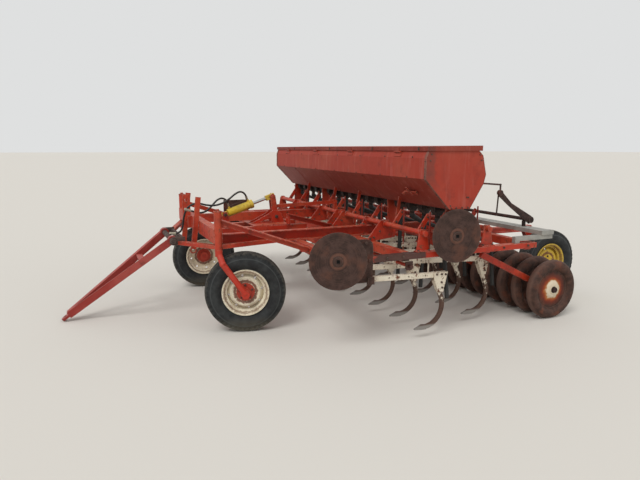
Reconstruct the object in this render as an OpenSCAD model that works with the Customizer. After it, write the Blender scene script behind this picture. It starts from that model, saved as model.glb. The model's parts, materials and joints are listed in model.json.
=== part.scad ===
// Trailed hoe press drill, 12 ft wide, parked with its tongue on the ground.
// Millimetres. +X is the direction of travel, +Y the left side, +Z up.
// The origin is on the ground, under the middle of the machine's length.
// Lengths called "ahead" or "back" are measured from the middle of the hopper.

/* [Rows] */
// Number of openers, two ranks together
rows = 18; // [10:2:18]
// Distance between neighbouring rows
row_pitch = 203.2; // [198:1:206]

/* [Hopper] */
// Length of the hopper over its end panels
hopper_len = 3660; // [3640:2:3680]
// Height of the hopper's flat bottom
hopper_z = 1120; // [1115:1:1140]
// Width of the hopper's flat bottom
hopper_bottom_w = 205; // [190:1:220]
// Height of the slanted lower panels
hopper_slant_h = 253; // [240:1:260]
// Height of the upright band above the slanted panels
hopper_band_h = 164; // [150:1:180]
// Half width of the hopper at the band
hopper_half_w = 298; // [285:1:310]
// Thickness of the hopper's sheet
sheet = 3; // [2:0.5:4]
// Height of the lid's lip
lid_lip_h = 40; // [30:1:45]

/* [Frame] */
// Width of the main frame over its side beams
frame_w = 3550; // [3540:2:3560]
// Height of the top of the cross beams
frame_z = 766; // [760:1:770]
// Height of a side beam's section
side_h = 48; // [40:1:60]
// Width of a side beam's section
side_w = 70; // [60:1:80]
// Height of a cross beam's section
cross_h = 76; // [60:1:76]
// Width of a cross beam's section
cross_w = 70; // [60:1:76]
// Height of the two long beams that lie on the cross beams
long_h = 100; // [80:1:110]
// Width of a long beam's section
long_w = 60; // [50:1:70]
// Distance between the long beams' centre lines
long_track = 1540; // [1530:1:1550]
// Height of the front beam between the caster posts
front_h = 125; // [110:1:130]
// Thickness of the frame's steel plates
plate = 12; // [10:1:14]

/* [Casters and wheels] */
// Distance of the caster posts ahead of the hopper
post_ahead = 1774; // [1760:2:1790]
// Distance between the caster posts
post_track = 1854; // [1840:2:1870]
// Outer diameter of a caster post
post_d = 64; // [60:1:70]
// Diameter of the spindle that turns in a post
spindle_d = 48; // [44:1:50]
// Trail of a caster wheel behind its post
trail = 222; // [210:1:230]
// Angle that the left caster has swung by
caster_left_turn = -15; // [-20:1:0]
// Angle that the right caster has swung by
caster_right_turn = -5; // [-20:1:0]
// Radius of a tyre
tyre_r = 360; // [355:1:365]
// Width of a tyre
tyre_w = 165; // [150:1:170]
// Radius of a rim's flange
rim_r = 208; // [205:1:212]
// Distance of the rear wheels behind the hopper
rear_back = 1925; // [1920:1:1960]
// Distance between the rear wheels
rear_track = 2000; // [1980:2:2020]

/* [Tongue] */
// Length of the tongue from its hinge to its hitch pin
tongue_len = 1210; // [1150:5:1260]
// Distance of the tongue's hinge ahead of the hopper
hinge_ahead = 2070; // [2060:1:2080]
// Height of the tongue's hinge
hinge_z = 755; // [750:1:760]
// Width of the tongue over its hinge eyes
tongue_w = 600; // [580:2:620]
// Diameter of the hitch pin's hole
hitch_pin_d = 33; // [28:1:36]

/* [Openers] */
// Height of a drag bar's section
drag_h = 45; // [40:1:50]
// Width of a drag bar's section
drag_w = 30; // [26:1:34]
// Radius of the curve of a C shank
shank_r = 185; // [175:1:190]
// Depth of a C shank's section, seen from the side
shank_d = 38; // [30:1:42]
// Width of a C shank's section, seen from the front
shank_w = 20; // [16:1:25]
// Height of the point above the ground, with the openers raised
point_z = 78; // [75:1:85]
// Diameter of a seed tube
seed_tube_d = 34; // [28:1:36]

/* [Rock shafts] */
// Outer diameter of a rock shaft
rock_d = 50; // [44:1:54]
// Height of the rock shafts
rock_z = 920; // [915:1:925]
// Length of a lift lever from the shaft's centre
lever_len = 170; // [150:1:175]
// Angle of the levers behind the upright
lever_tilt = 35; // [30:1:38]

/* [Press wheels] */
// Radius of a press wheel
press_r = 285; // [280:1:287]
// Width of a press wheel's rim
press_w = 105; // [90:1:110]
// Distance of the press wheels behind the hopper
press_back = 1250; // [1245:1:1260]
// Diameter of the press wheels' axle
press_axle_d = 38; // [32:1:42]

/* [Shield discs] */
// Radius of a shield disc
disc_r = 226; // [210:1:230]
// Thickness of a shield disc
disc_t = 5; // [4:0.5:6]

/* [Cylinder] */
// Diameter of the lift cylinder's barrel
barrel_d = 82; // [70:1:90]
// Length of the lift cylinder's barrel
barrel_len = 270; // [260:1:280]
// Diameter of the lift cylinder's rod
rod_d = 32; // [28:1:36]

/* [Hidden] */
$fn = 48;
run = 0.08;       // radial clearance of a shaft that turns in its bore
gap = 0.3;        // clearance between pieces that seat on each other
red = "#A5301F";
panel_red = "#9E3E30";
white = "#DCCDB4";
rust = "#4B3730";
dark = "#2D3030";
grey = "#9A9A94";
yellow = "#C8B43C";

// Stations along the machine, ahead of the hopper's middle
front_x = 980;
front_hanger_x = 720;
rear_hanger_x = 380;
rear_stand_x = -470;
rear_x = -950;
rock_front_x = 240;
rock_rear_x = -430;
pivot_front = [745, 577];
pivot_rear = [360, 650];
tower_pin = [950, 900];
rod_pin = [980, 1115];
base_pin = [1495, 942];
link_rise = 105;
tie_drop = 95;
side_front_x = 1085;
side_rear_x = -985;
footboard_x = -1120;
feed_shaft = [-60, 1085];

// The middle of the machine's length is put at the origin
hitch_z = 36;
hinge_fall = hinge_z - hitch_z;
tongue_reach = sqrt(tongue_len * tongue_len - hinge_fall * hinge_fall);
tongue_nose = 38;
front_reach = hinge_ahead + tongue_reach + tongue_nose;
rear_reach = rear_back + tyre_r;
x0 = -(front_reach - rear_reach) / 2;

half_rows = rows / 2;
function row_y(i) = ((rows - 1) / 2 - i) * row_pitch;
function front_row(k) = row_y(2 * k);
function rear_row(k) = row_y(2 * k + 1);
half_len = hopper_len / 2;
half_frame = frame_w / 2;
long_y = long_track / 2;
// The inner stands of the hopper rise midway between two rows, clear of the feed cups
between_rows_y = row_pitch * round(long_y / row_pitch);
post_y = post_track / 2;
half_rear = rear_track / 2;
// A rock shaft reaches past the frame's sides and past the levers of the end rows
shaft_len = max(frame_w, 2 * row_y(0) + 80) + 10;
rod_top = rock_z + lever_len * cos(lever_tilt) + 30;
tie_y = -152;
tower_y = 48;
tower_pin_d = 24;
link_pin_d = 20;
cyl_pin_d = 25.4;
clevis_play = 4.9;  // room for the rocker's pin in the rod's clevis, as the pin swings on an arc
hinge_d = 50;
hinge_plate_y = tongue_w / 2 + 35;
strut_y1 = 305;
strut_y2 = 1117;
front_beam_z = frame_z + gap + long_h + 64;
post_low = 752;
post_high = 1082;
rod_off = 36;
lever_off = 58;
lever_w = 42;
lever_t = 14;
pivot_d = 30;

// The side of a row on which its lever and its rod stand, towards the middle of the machine
function inboard(y) = y > 0 ? -1 : 1;

// The hopper's section in X and Z, from the bottom front edge, left side inward
fold_low_z = hopper_z + hopper_slant_h;
fold_high_z = fold_low_z + hopper_band_h;
rim_front = [hopper_half_w - 28, fold_high_z + 55];
rim_rear = [-hopper_half_w + 76, fold_high_z + 63];
hopper_section = [
    [hopper_bottom_w / 2 - 52, hopper_z], [hopper_half_w - 6, fold_low_z],
    [hopper_half_w - 8, fold_high_z], rim_front, rim_rear,
    [-hopper_half_w + 30, fold_high_z + 18], [-hopper_half_w - 7, fold_low_z + 27],
    [-hopper_half_w + 13, fold_low_z - 48], [-hopper_bottom_w / 2 - 52, hopper_z]
];
rim_up = 36;
lid_hinge = rim_front + [14, -4];
lid_hinge_ys = [-1380, -460, 460, 1380];
lid_pin_d = 8;
lid_slope = atan2(rim_rear.y - rim_front.y, rim_front.x - rim_rear.x);

// Routes of the hydraulic hoses, from the cylinder over the front beam to the tongue
hose_d = 19;
hoses = [
    [[1446.5, 0, 1023.7], [1459, 3, 1062], [1488, 16, 1098], [1535, 46, 1114], [1592, 92, 1098], [1650, 140, 1055],
        [1712, 192, 1014], [1780, 240, 1000], [1840, 251, 1012], [1930, 246, 1040]],
    [[1253.2, 0, 1088.9], [1266, 4, 1128], [1294, 18, 1160], [1340, 46, 1174], [1400, 84, 1156], [1470, 126, 1114],
        [1550, 168, 1078], [1640, 206, 1062], [1725, 232, 1072], [1800, 240, 1090], [1865, 226, 1080], [1915, 198, 1028],
        [1936, 168, 950], [1944, 142, 872], [1962, 120, 816], [2004, 102, 792], [2060, 88, 791]]
];

module placed() translate([x0, 0, 0]) children();

function unit(v) = v / norm(v);

// The outline moved inwards by t, for a list of corners that runs anticlockwise
function inset(p, t) = [
    for (i = [0 : len(p) - 1])
        let (
            n = len(p),
            u = unit(p[i] - p[(i + n - 1) % n]),
            v = unit(p[(i + 1) % n] - p[i]),
            nu = [-u.y, u.x],
            nv = [-v.y, v.x]
        )
        p[i] + (nu + nv) * t / (1 + nu * nv)
];

// A beam from p to q, w wide and h deep, moved dy and dz across its own length
module bar(p, q, w, h, dy = 0, dz = 0) {
    v = q - p;
    translate(p)
        rotate([0, -atan2(v.z, norm([v.x, v.y])), atan2(v.y, v.x)])
            translate([0, dy - w / 2, dz - h / 2])
                cube([norm(v), w, h]);
}

// An angle iron from p to q, its level leg on top and its upright leg on the side that s points to
module angle_bar(p, q, w, h, t, s) {
    v = q - p;
    translate(p)
        rotate([0, -atan2(v.z, norm([v.x, v.y])), atan2(v.y, v.x)])
            rotate([90, 0, 90])
                linear_extrude(norm(v))
                    polygon([[-s * w / 2, h / 2], [s * w / 2, h / 2], [s * w / 2, -h / 2], [s * (w / 2 - t), -h / 2],
                        [s * (w / 2 - t), h / 2 - t], [-s * w / 2, h / 2 - t]]);
}

module rod(p, q, d) {
    v = q - p;
    translate(p)
        rotate([0, 90 - atan2(v.z, norm([v.x, v.y])), atan2(v.y, v.x)])
            cylinder(h = norm(v), d = d);
}

// A level beam along Y, its top at z
module cross_beam(x, len, z, w, h) translate([x - w / 2, -len / 2, z - h]) cube([w, len, h]);

// A channel along X from x1 to x2, its web on the side that s points to
module run_channel(x1, x2, y, z, w, h, t, s) translate([x1, y, z - h]) rotate([90, 0, 90]) linear_extrude(x2 - x1) difference() {
    translate([-w / 2, 0]) square([w, h]);
    translate([-w / 2 - s * t, t]) square([w, h - 2 * t]);
}

// A level beam along X from x1 to x2, its top at z
module run_beam(x1, x2, y, z, w, h) translate([x1, y - w / 2, z - h]) cube([x2 - x1, w, h]);

// A round bar along Y
module y_rod(x, y, z, len, d) translate([x, y + len / 2, z]) rotate([90, 0, 0]) cylinder(h = len, d = d);

// An outline in X and Z given thickness t along Y, centred on y
module side_plate(points, y, t) translate([0, y + t / 2, 0]) rotate([90, 0, 0]) linear_extrude(t) polygon(points);

module both_sides() {
    children();
    mirror([0, 1, 0]) children();
}

module main_frame() color(red) placed() {
    beam_len = frame_w - 2 * side_w - 2 * gap;
    both_sides() {
        run_beam(side_rear_x, side_front_x, half_frame - side_w / 2, frame_z, side_w, side_h);
    }
    for (x = [front_x, front_hanger_x, rear_hanger_x, rear_stand_x, rear_x]) {
        cross_beam(x, beam_len, frame_z, cross_w, cross_h);
    }
}

module long_beams() color(red) placed() both_sides() {
    run_channel(side_rear_x, post_ahead - 38 - gap, long_y, frame_z + gap + long_h, long_w, long_h, 9, -1);
}

module front_beam() color(red) placed() {
    difference() {
        union() {
            cross_beam(post_ahead, post_track, front_beam_z, 76, front_h);
            both_sides() {
                translate([post_ahead, post_y, post_low]) cylinder(h = post_high - post_low, d = post_d);
                translate([post_ahead, post_y, post_high - 1]) cylinder(h = 9, d = post_d + 6);
                translate([post_ahead, post_y, post_high]) cylinder(h = 24, d = 30);
            }
        }
        both_sides() translate([post_ahead, post_y, post_low - 1]) cylinder(h = post_high - post_low, r = spindle_d / 2 + run);
    }
}

module frame_braces() color(red) placed() both_sides() difference() {
    union() {
        angle_bar([post_ahead - 20, post_y + 4, 992], [front_x + 10, 1144, 722], 50, 50, 8, 1);
        bar([post_ahead + 6, post_y - 14, 775], [2010, 330, 735], 50, 34);
        bar([post_ahead - 16, post_y - 6, 777], [1160, long_y + 14, 777], 40, 36);
    }
    translate([post_ahead, post_y, 600]) cylinder(h = 600, d = post_d + 2 * gap);
    translate([1700, 0, 700]) cube([400, hinge_plate_y + 14 + gap, 200]);
    translate([side_rear_x, 0, frame_z - 20]) cube([post_ahead - side_rear_x, long_y + long_w / 2 + gap, 130]);
    translate([front_x - 100, 0, 600]) cube([100 + cross_w / 2 + gap, 2000, 300]);
}

module hitch_mast() color(red) placed() {
    both_sides() {
        bar([1810, 272, 1155], [1872, 272, 655], 22, 50);
        translate([post_ahead + 38 + gap, 263, 835]) cube([30, 18, 40]);
        translate([1874, 272, 642]) rotate([90, 0, 0]) rotate_extrude() translate([26, 0]) circle(d = 14);
    }
    difference() {
        translate([post_ahead + 38 + gap, -166, 800]) cube([80, 12, 350]);
        for (z = [1090, 880]) y_rod(post_ahead + 82, -160, z, 20, 30);
    }
    translate([post_ahead + 38 + gap, -160, 806]) cube([34, 40, 120]);
}

module hinge_bracket() color(rust) placed() {
    plate_y = hinge_plate_y;
    y_rod(hinge_ahead, 0, hinge_z, 2 * plate_y + 50, hinge_d);
    both_sides() {
        side_plate([
            [hinge_ahead - 110, hinge_z - 40], [hinge_ahead + 5, hinge_z - 40], [hinge_ahead + 32, hinge_z - 20],
            [hinge_ahead + 32, hinge_z + 20], [hinge_ahead + 5, hinge_z + 38], [hinge_ahead - 110, hinge_z + 38]
        ], plate_y + 7, 14);
    }
    translate([hinge_ahead - 110, -plate_y - 1, hinge_z - 40]) cube([24, 2 * plate_y + 2, 60]);
}

module stand(x, y, base_z) {
    half = 70;
    difference() {
        union() {
            side_plate([[x - half + 5, base_z + 4], [x + half - 5, base_z + 4], [x + 36, rock_z + 12], [x + 20, rock_z + 32],
                [x - 20, rock_z + 32], [x - 36, rock_z + 12]], y, plate);
            translate([x - half, y - 28, base_z]) cube([2 * half, 56, 10]);
        }
        y_rod(x, y, rock_z, plate + 2, rock_d + 2 * run);
    }
}

// A bearing plate for the front rock shaft, standing on the beam behind the shaft
module bearing_plate(y) {
    difference() {
        side_plate([[rear_hanger_x + 35, frame_z + gap], [rear_hanger_x + 35, 800], [290, 955], [195, 955],
            [135, 830], [135, 790], [rear_hanger_x - 35, frame_z + gap]], y, plate);
        y_rod(rock_front_x, y, rock_z, plate + 2, rock_d + 2 * run);
    }
}

module shaft_stands() color(red) placed() {
    both_sides() for (x = [rock_front_x, rock_rear_x]) {
        stand(x, half_frame - side_w / 2, frame_z + gap);
        stand(x, long_y, frame_z + long_h + 2 * gap);
    }
    for (y = [strut_y2, strut_y1, 150, -strut_y1, -strut_y2]) bearing_plate(y);
    for (y = [strut_y2, strut_y1, -strut_y1, -strut_y2]) {
        side_plate([[137, 797], [167, 797], [104.5, 1176], [74, 1144]], y + plate / 2 + 3, 8);
    }
    difference() {
        side_plate([[rear_stand_x - 35, frame_z + gap], [rear_stand_x + 35, frame_z + gap], [rock_rear_x + 45, 945],
            [rock_rear_x - 45, 945]], 0, plate);
        y_rod(rock_rear_x, 0, rock_z, plate + 2, rock_d + 2 * run);
    }
}

module lift_tower() color(red) placed() {
    floor_z = frame_z + gap + 60;
    both_sides() {
        run_beam(front_hanger_x - 60, post_ahead - 38 - gap, 170, floor_z, 60, 60);
        difference() {
            side_plate([[1235, floor_z + 9], [860, floor_z + 9], [895, 935], [920, 962], [985, 972], [1040, 930]], tower_y, 10);
            y_rod(tower_pin.x, tower_y, tower_pin.y, 30, tower_pin_d + 2 * run);
            side_plate([[1130, floor_z + 24], [1000, floor_z + 24], [1010, 890]], tower_y, 12);
        }
        side_plate([[1530, floor_z + 10], [1440, floor_z + 10], [1475, 968], [1515, 968]], 24, 12);
    }
    translate([850, -195, floor_z - 0.5]) cube([395, 390, 10]);
    translate([1425, -195, floor_z - 0.5]) cube([110, 390, 11]);
    y_rod(base_pin.x, 0, base_pin.y, 76, cyl_pin_d);
    angle_bar([888, 232, 925], [400, 232, 790.6], 48, 50, 8, 1);
    translate([858, 176, floor_z + 9.8]) cube([26, 60, 99]);
}

module opener_hangers() color(red) placed() {
    top = frame_z - cross_h - gap;
    for (k = [0 : half_rows - 1]) {
        hanger(pivot_front, front_row(k) - row_pitch, top);
        hanger(pivot_rear, rear_row(k) + row_pitch, top);
    }
    y_rod(pivot_front.x, 0, pivot_front.y, frame_w, pivot_d);
    y_rod(pivot_rear.x, 0, pivot_rear.y, 2 * row_y(0) + 90, pivot_d);
}

module hanger(pivot, y, top) {
    difference() {
        side_plate([[pivot.x - 34, pivot.y - 20], [pivot.x - 20, pivot.y - 34], [pivot.x + 20, pivot.y - 34],
            [pivot.x + 34, pivot.y - 20], [pivot.x + 34, top], [pivot.x - 34, top]], y, plate);
        y_rod(pivot.x, y, pivot.y, plate + 2, pivot_d + 2 * gap);
    }
}

// One panel of the hopper, between two neighbouring corners of its section
module hopper_panel(i, len) {
    inner = inset(hopper_section, sheet);
    n = (i + 1) % 9;
    u = unit(hopper_section[n] - hopper_section[i]) * gap / 2;
    translate([0, len / 2, 0]) rotate([90, 0, 0]) linear_extrude(len) polygon([
        hopper_section[i] + u, hopper_section[n] - u, inner[n] - u, inner[i] + u
    ]);
}

module hopper_shell() color(panel_red) placed() {
    wall_len = hopper_len - 2 * sheet - 2 * gap;
    for (i = [0, 1, 2, 4, 5, 6, 7]) hopper_panel(i, wall_len);
    difference() {
        hopper_panel(8, wall_len);
        for (i = [0 : rows - 1]) translate([-82, row_y(i) - 25, hopper_z - 5]) cube([60, 50, 15]);
    }
    for (p = [rim_front - [sheet, 0], rim_rear]) {
        translate([p.x, -wall_len / 2, p.y + gap]) cube([sheet, wall_len, rim_up]);
    }
    for (y = lid_hinge_ys) hinge_leaf(y);
}

// The fixed leaf of a lid hinge, with its pin
module hinge_leaf(y) {
    low = hopper_section[2];
    along = unit(rim_front - low);
    out = [along.y, -along.x];
    a = low + along * 12 + out * gap;
    b = low + along * 52 + out * gap;
    difference() {
        side_plate([a, b, b + out * 5, a + out * 5], y, 110);
        y_rod(lid_hinge.x, y, lid_hinge.y, 52, 22);
    }
    y_rod(lid_hinge.x, y, lid_hinge.y, 100, lid_pin_d);
    for (w = [-1, 1]) y_rod(lid_hinge.x, y + w * 38, lid_hinge.y, 26, 16);
}

module hopper_end(side) color(panel_red) placed() {
    y = side * (half_len - sheet / 2);
    side_plate(hopper_section, y, sheet);
    translate([0, y + sheet / 2, 0]) rotate([90, 0, 0]) linear_extrude(sheet) polygon([
        rim_front, rim_front + [0, rim_up], rim_rear + [0, rim_up], rim_rear
    ]);
}

module hopper_end_left() hopper_end(1);
module hopper_end_right() hopper_end(-1);

module hopper_stands() color(red) placed() both_sides() {
    foot_z = frame_z + long_h + 2 * gap;
    foot_low = min(between_rows_y - plate / 2, long_y - long_w / 2);
    foot_high = max(between_rows_y + plate / 2, long_y + long_w / 2);
    side_plate([[-150, frame_z + gap], [60, frame_z + gap], [40, hopper_z - gap], [-140, hopper_z - gap]], half_frame - 8, plate);
    translate([-110, foot_low, foot_z]) cube([140, foot_high - foot_low, plate]);
    difference() {
        side_plate([[-110, foot_z + plate + gap], [30, foot_z + plate + gap], [40, hopper_z - gap],
            [-140, hopper_z - gap]], between_rows_y, plate);
        y_rod(feed_shaft.x, between_rows_y, feed_shaft.y, 40, 18 + 2 * gap);
    }
}

module seed_cups() color(dark) placed() {
    for (i = [0 : rows - 1]) {
        y = row_y(i);
        difference() {
            union() {
                side_plate([[-108, hopper_z - gap], [4, hopper_z - gap], [0, 1068], [-28, 1034], [-76, 1030], [-108, 1072]], y, 62);
                translate([-55, y, 1004]) cylinder(h = 32, d1 = seed_tube_d + 8, d2 = 52);
            }
            y_rod(feed_shaft.x, y, feed_shaft.y, 70, 18 + 2 * gap);
        }
    }
    y_rod(feed_shaft.x, 0, feed_shaft.y, 2 * row_y(0) + 64, 18);
}

// A seed tube through points in X and Z; the tubes of the end rows pass inside the side beams
module seed_tube(points, y) {
    last = len(points) - 1;
    pass_y = sign(y) * min(abs(y), half_frame - side_w - 55);
    path = [for (i = [0 : last]) [points[i].x, i < 2 || i == last ? y : pass_y, points[i].y]];
    for (i = [0 : last - 1]) {
        rod(path[i], path[i + 1], seed_tube_d);
        if (i < last - 1) translate(path[i + 1]) sphere(d = seed_tube_d + 3);
    }
}

module seed_tubes_front() color(dark) placed() for (k = [0 : half_rows - 1]) {
    seed_tube([[-55, 1003.7], [-55, 984], [-53, 800], [-50, 690], [-38, 330]], front_row(k));
}

module seed_tubes_rear() color(dark) placed() for (k = [0 : half_rows - 1]) {
    seed_tube([[-55, 1003.7], [-55, 984], [-150, 930], [-668, 745], [-715, 330]], rear_row(k));
}

module press_arms() color(red) placed() {
    for (y = [row_y(0.5), row_y(4.5), 0, -row_y(4.5), -row_y(0.5)]) {
        difference() {
            union() {
                bar([rear_stand_x - 3, y, frame_z - cross_h - 25.5], [-press_back, y, press_r], 40, 56);
                y_rod(-press_back, y, press_r, 50, 90);
            }
            y_rod(-press_back, y, press_r, 60, press_axle_d + 2 * run);
        }
    }
}

module rear_carrier() color(red) placed() both_sides() {
    y = half_rear - 132;
    difference() {
        union() {
            side_plate([[side_rear_x - gap, 698], [side_rear_x - gap, 764], [-1790, 764], [-1975, 400],
                [-1975, 325], [-1885, 325], [-1700, 698]], y, 60);
            translate([side_rear_x - gap - 12, y - 62, 692]) cube([12, 124, 73]);
        }
        side_plate([[-1100, 712], [-1100, 750], [-1660, 750], [-1676, 712]], y + 26, 20);
    }
    y_rod(-rear_back, half_rear - 132 + 84, tyre_r, 112, 40);
}

board_z = 826 + gap;

module footboard() color(grey) placed() {
    board_w = 140;
    both_sides() {
        run_beam(footboard_x - board_w / 2 - 5, -745, half_frame - 40, 826, 40, 40);
        run_beam(-800, -745, half_frame - 40, 786 - gap, 40, 786 - frame_z - 2 * gap);
        translate([footboard_x - board_w / 2 - 3, half_frame - 27, board_z]) cube([board_w + 6, 22, 41]);
    }
    translate([0, half_frame - 27 - gap, 0]) rotate([90, 0, 0]) linear_extrude(frame_w - 54 - 2 * gap) difference() {
        translate([footboard_x - board_w / 2, board_z]) square([board_w, 38]);
        translate([footboard_x - board_w / 2 + 4, board_z - 1]) square([board_w - 8, 35]);
        translate([footboard_x - 4, board_z + 33]) square([8, 10]);
    }
}

// The adjusting crank behind the hopper and the shaft that it turns
module lift_linkage() color(dark) placed() {
    y = 1510;
    shaft = [footboard_x - 20, 936];
    top = [-760, 1208];
    bend = [top.x, 1284];
    foot = board_z + 38 + gap;
    y_rod(shaft.x, (y - 1490) / 2, shaft.y, y + 1490, 34);
    side_plate([[shaft.x - 34, shaft.y - 8], [shaft.x + 6, shaft.y - 40], [-860, 1090], [top.x + 22, top.y - 22],
        [top.x - 8, top.y + 22], [-900, 1106], [shaft.x - 22, shaft.y + 32]], y, 14);
    y_rod(top.x, y, top.y, 30, 52);
    y_rod(shaft.x, y + 15, shaft.y, 24, 62);
    rod([top.x + 2, y - 17, top.y], [top.x + 16, y - 17, 990], 14);
    rod([top.x, y, top.y + 20], [bend.x, y, bend.y], 16);
    translate([bend.x, y, bend.y]) sphere(d = 20);
    rod([bend.x, y, bend.y], [-340, y, 1318], 16);
    translate([-340, y, 1318]) sphere(d = 20);
    rod([-340, y, 1318], [-325, y, 1392], 16);
    for (w = [1, -1]) {
        translate([shaft.x - 16, w * 1440 - 10, foot]) cube([32, 20, shaft.y - 17 - gap - foot]);
    }
}

// Each shield disc is placed by its middle and turned about an upright line
disc1 = [1060, half_frame + 50, 765];
disc1_yaw = -18;
disc2 = [-20, half_frame + 78, 897];
disc2_yaw = -7;
spindle_r = 13;

module end_plates() color(rust) placed() {
    both_sides() {
        side_plate([
            [735, 565], [side_front_x, 565], [side_front_x, 915], [795, 915], [765, 908], [744, 887], [735, 858]
        ], half_frame + gap + 5, 10);
        translate([pivot_front.x - 30 + 15, half_frame + gap + 10 + gap, pivot_front.y - 28]) cube([60, 20, 60]);
    }
    translate([disc1.x - 50, half_frame + gap + 10 + gap, disc1.z - 45]) cube([74, 5, 90]);
    disc_spindle(disc1, disc1_yaw, 38);
    side_plate([[-90, 722], [50, 722], [14, 930], [-54, 930]], half_frame + gap + 6, 12);
    disc_spindle(disc2, disc2_yaw, 68);
}

module disc_spindle(at, yaw, reach) {
    translate(at) rotate([0, 0, yaw]) rotate([90, 0, 0]) {
        translate([0, 0, 2]) cylinder(h = reach - 2, r = spindle_r);
        translate([0, 0, 19]) cylinder(h = reach - 19, r = 24);
    }
}

module tongue() color(red) placed() {
    tip = [hinge_ahead + tongue_reach, 0, hitch_z];
    fall = atan2(hinge_fall, tongue_reach);
    eye_y = tongue_w / 2 - 25;
    difference() {
        union() {
            both_sides() {
                bar([hinge_ahead, eye_y, hinge_z], tip + [-32, 12, 24], 46, 66);
                y_rod(hinge_ahead, eye_y, hinge_z, 60, 86);
            }
            bar([hinge_ahead + 270, -230, hinge_z - 200], [hinge_ahead + 270, 230, hinge_z - 200], 60, 10);
            translate(tip) rotate([0, fall, 0]) translate([-100, -40, -12]) cube([100, 80, 24]);
            translate(tip) rotate([0, fall, 0]) translate([0, 0, -12]) cylinder(h = 24, d = 80);
        }
        y_rod(hinge_ahead, 0, hinge_z, tongue_w + 20, hinge_d + 2 * run);
        translate(tip) rotate([0, fall, 0]) translate([0, 0, -60]) cylinder(h = 120, d = hitch_pin_d);
    }
}

// A caster arm with its wheel behind the post; side is 1 on the left
module caster_place(side, turn) placed() translate([post_ahead, side * post_y, 0]) rotate([0, 0, turn]) children();

wheel_in = 74;
hub_out = 128;

module caster(side, turn) color(red) caster_place(side, turn) {
    hub_y = side * (hub_out - wheel_in);
    elbow = [-34, side * 43, 632];
    hub = [-trail, hub_y, tyre_r];
    translate([0, 0, 700]) cylinder(h = post_high - 8 - 700, d = spindle_d);
    translate([0, 0, 696]) cylinder(h = post_low - 696 - gap, d = post_d);
    rod([0, 0, 722], elbow, 54);
    translate(elbow) sphere(d = 58);
    rod(elbow, hub, 54);
    y_rod(-trail, hub_y - side * 8, tyre_r, 56, 72);
    y_rod(-trail, side * (hub_out - wheel_in - 88), tyre_r, 150, 40);
}

module caster_left() caster(1, caster_left_turn);
module caster_right() caster(-1, caster_right_turn);

// A rim with its disc and hub, the axle along Y through the wheel's middle; its outer face is at +Y
module rim(hub_face) rotate([-90, 0, 0]) {
    difference() {
        rotate_extrude($fn = 64) union() {
            polygon([
                [rim_r, -70], [rim_r + 2, -66], [rim_r - 6, -60], [rim_r - 12, -58], [rim_r - 18, -34], [rim_r - 40, -26],
                [rim_r - 40, 20], [rim_r - 18, 34], [rim_r - 12, 58], [rim_r - 6, 60], [rim_r + 2, 66], [rim_r, 70],
                [rim_r - 8, 70], [rim_r - 20, 63], [rim_r - 25, 38], [rim_r - 46, 27],
                [rim_r - 46, -26], [rim_r - 24, -38], [rim_r - 20, -64], [rim_r - 8, -70]
            ]);
            polygon([[rim_r - 42, -12], [rim_r - 42, -4], [rim_r - 52, -2], [138, 24], [126, 32], [96, 24], [30, 24],
                [30, 17], [97, 17], [124, 24], [134, 18], [rim_r - 56, -10]]);
            translate([20 + run, -46]) square([26, hub_face + 46]);
            translate([20 + run, 23]) square([62, 8]);
        }
        for (i = [0 : 7]) {
            rotate([0, 0, 45 * i + 10]) translate([148, 0, -20]) cylinder(h = 60, d = 22);
        }
    }
}

// A ribbed tyre whose beads sit inside the rim's flanges
module tyre() rotate([90, 0, 0]) rotate_extrude($fn = 64) {
    difference() {
        union() {
            intersection() {
                translate([tyre_r - tyre_w / 2, 0]) circle(d = tyre_w);
                translate([0, -tyre_w]) square([tyre_r - 6, tyre_w * 2]);
            }
            translate([tyre_r - 26, 0]) intersection() {
                translate([-14, -62]) square([40, 124]);
                translate([-200, 0]) circle(r = 226);
            }
        }
        translate([0, -tyre_w]) square([rim_r - 5, tyre_w * 2]);
        for (y = [-34, 0, 34]) translate([tyre_r - 7, y - 3]) square([20, 6]);
    }
    for (w = [-1, 1]) translate([rim_r - 12 + gap, w * 48 - 10 + gap]) square([26, 20 - 2 * gap]);
}

module caster_wheel_place(side, turn) caster_place(side, turn) translate([-trail, -side * wheel_in, tyre_r]) mirror([0, side < 0 ? 1 : 0, 0]) children();

module wheel_left() color(white) caster_wheel_place(1, caster_left_turn) rim(91);
module tyre_left() color(dark) caster_wheel_place(1, caster_left_turn) tyre();
module wheel_right() color(white) caster_wheel_place(-1, caster_right_turn) rim(91);
module tyre_right() color(dark) caster_wheel_place(-1, caster_right_turn) tyre();

module rear_wheel_place(side) placed() translate([-rear_back, side * half_rear, tyre_r]) mirror([0, side < 0 ? 1 : 0, 0]) children();

module rear_wheel_left() color(yellow) rear_wheel_place(1) back_rim();
module rear_tyre_left() color(dark) rear_wheel_place(1) tyre();
module rear_wheel_right() color(yellow) rear_wheel_place(-1) back_rim();

// The back wheels show a cap over the end of their axle
module back_rim() {
    rim(58);
    rotate([-90, 0, 0]) translate([0, 0, 58 + gap]) cylinder(h = 12, d = 74);
}

module rear_tyre_right() color(dark) rear_wheel_place(-1) tyre();

// One press wheel, a hollow crowned rim on a dished web; its outer face is at +Y
module press_wheel() rotate([-90, 0, 0]) rotate_extrude($fn = 64) translate([press_r, 0]) {
    ring_r = press_w / 2;
    difference() {
        translate([-ring_r, 0]) circle(r = ring_r);
        translate([-ring_r, 0]) circle(r = ring_r - 7);
        translate([-130, -70]) square([130 - ring_r, 64]);
        translate([-130, 3 - ring_r - 60]) square([140, 60]);
    }
    polygon([[-2 * ring_r + 3, 0], [-2 * ring_r + 5, 14], [-200, 22], [-222, 34], [-244, 36], [-244, 28], [-224, 26], [-202, 14]]);
    translate([press_axle_d / 2 + gap - press_r, -46]) square([24, 86]);
}

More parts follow.
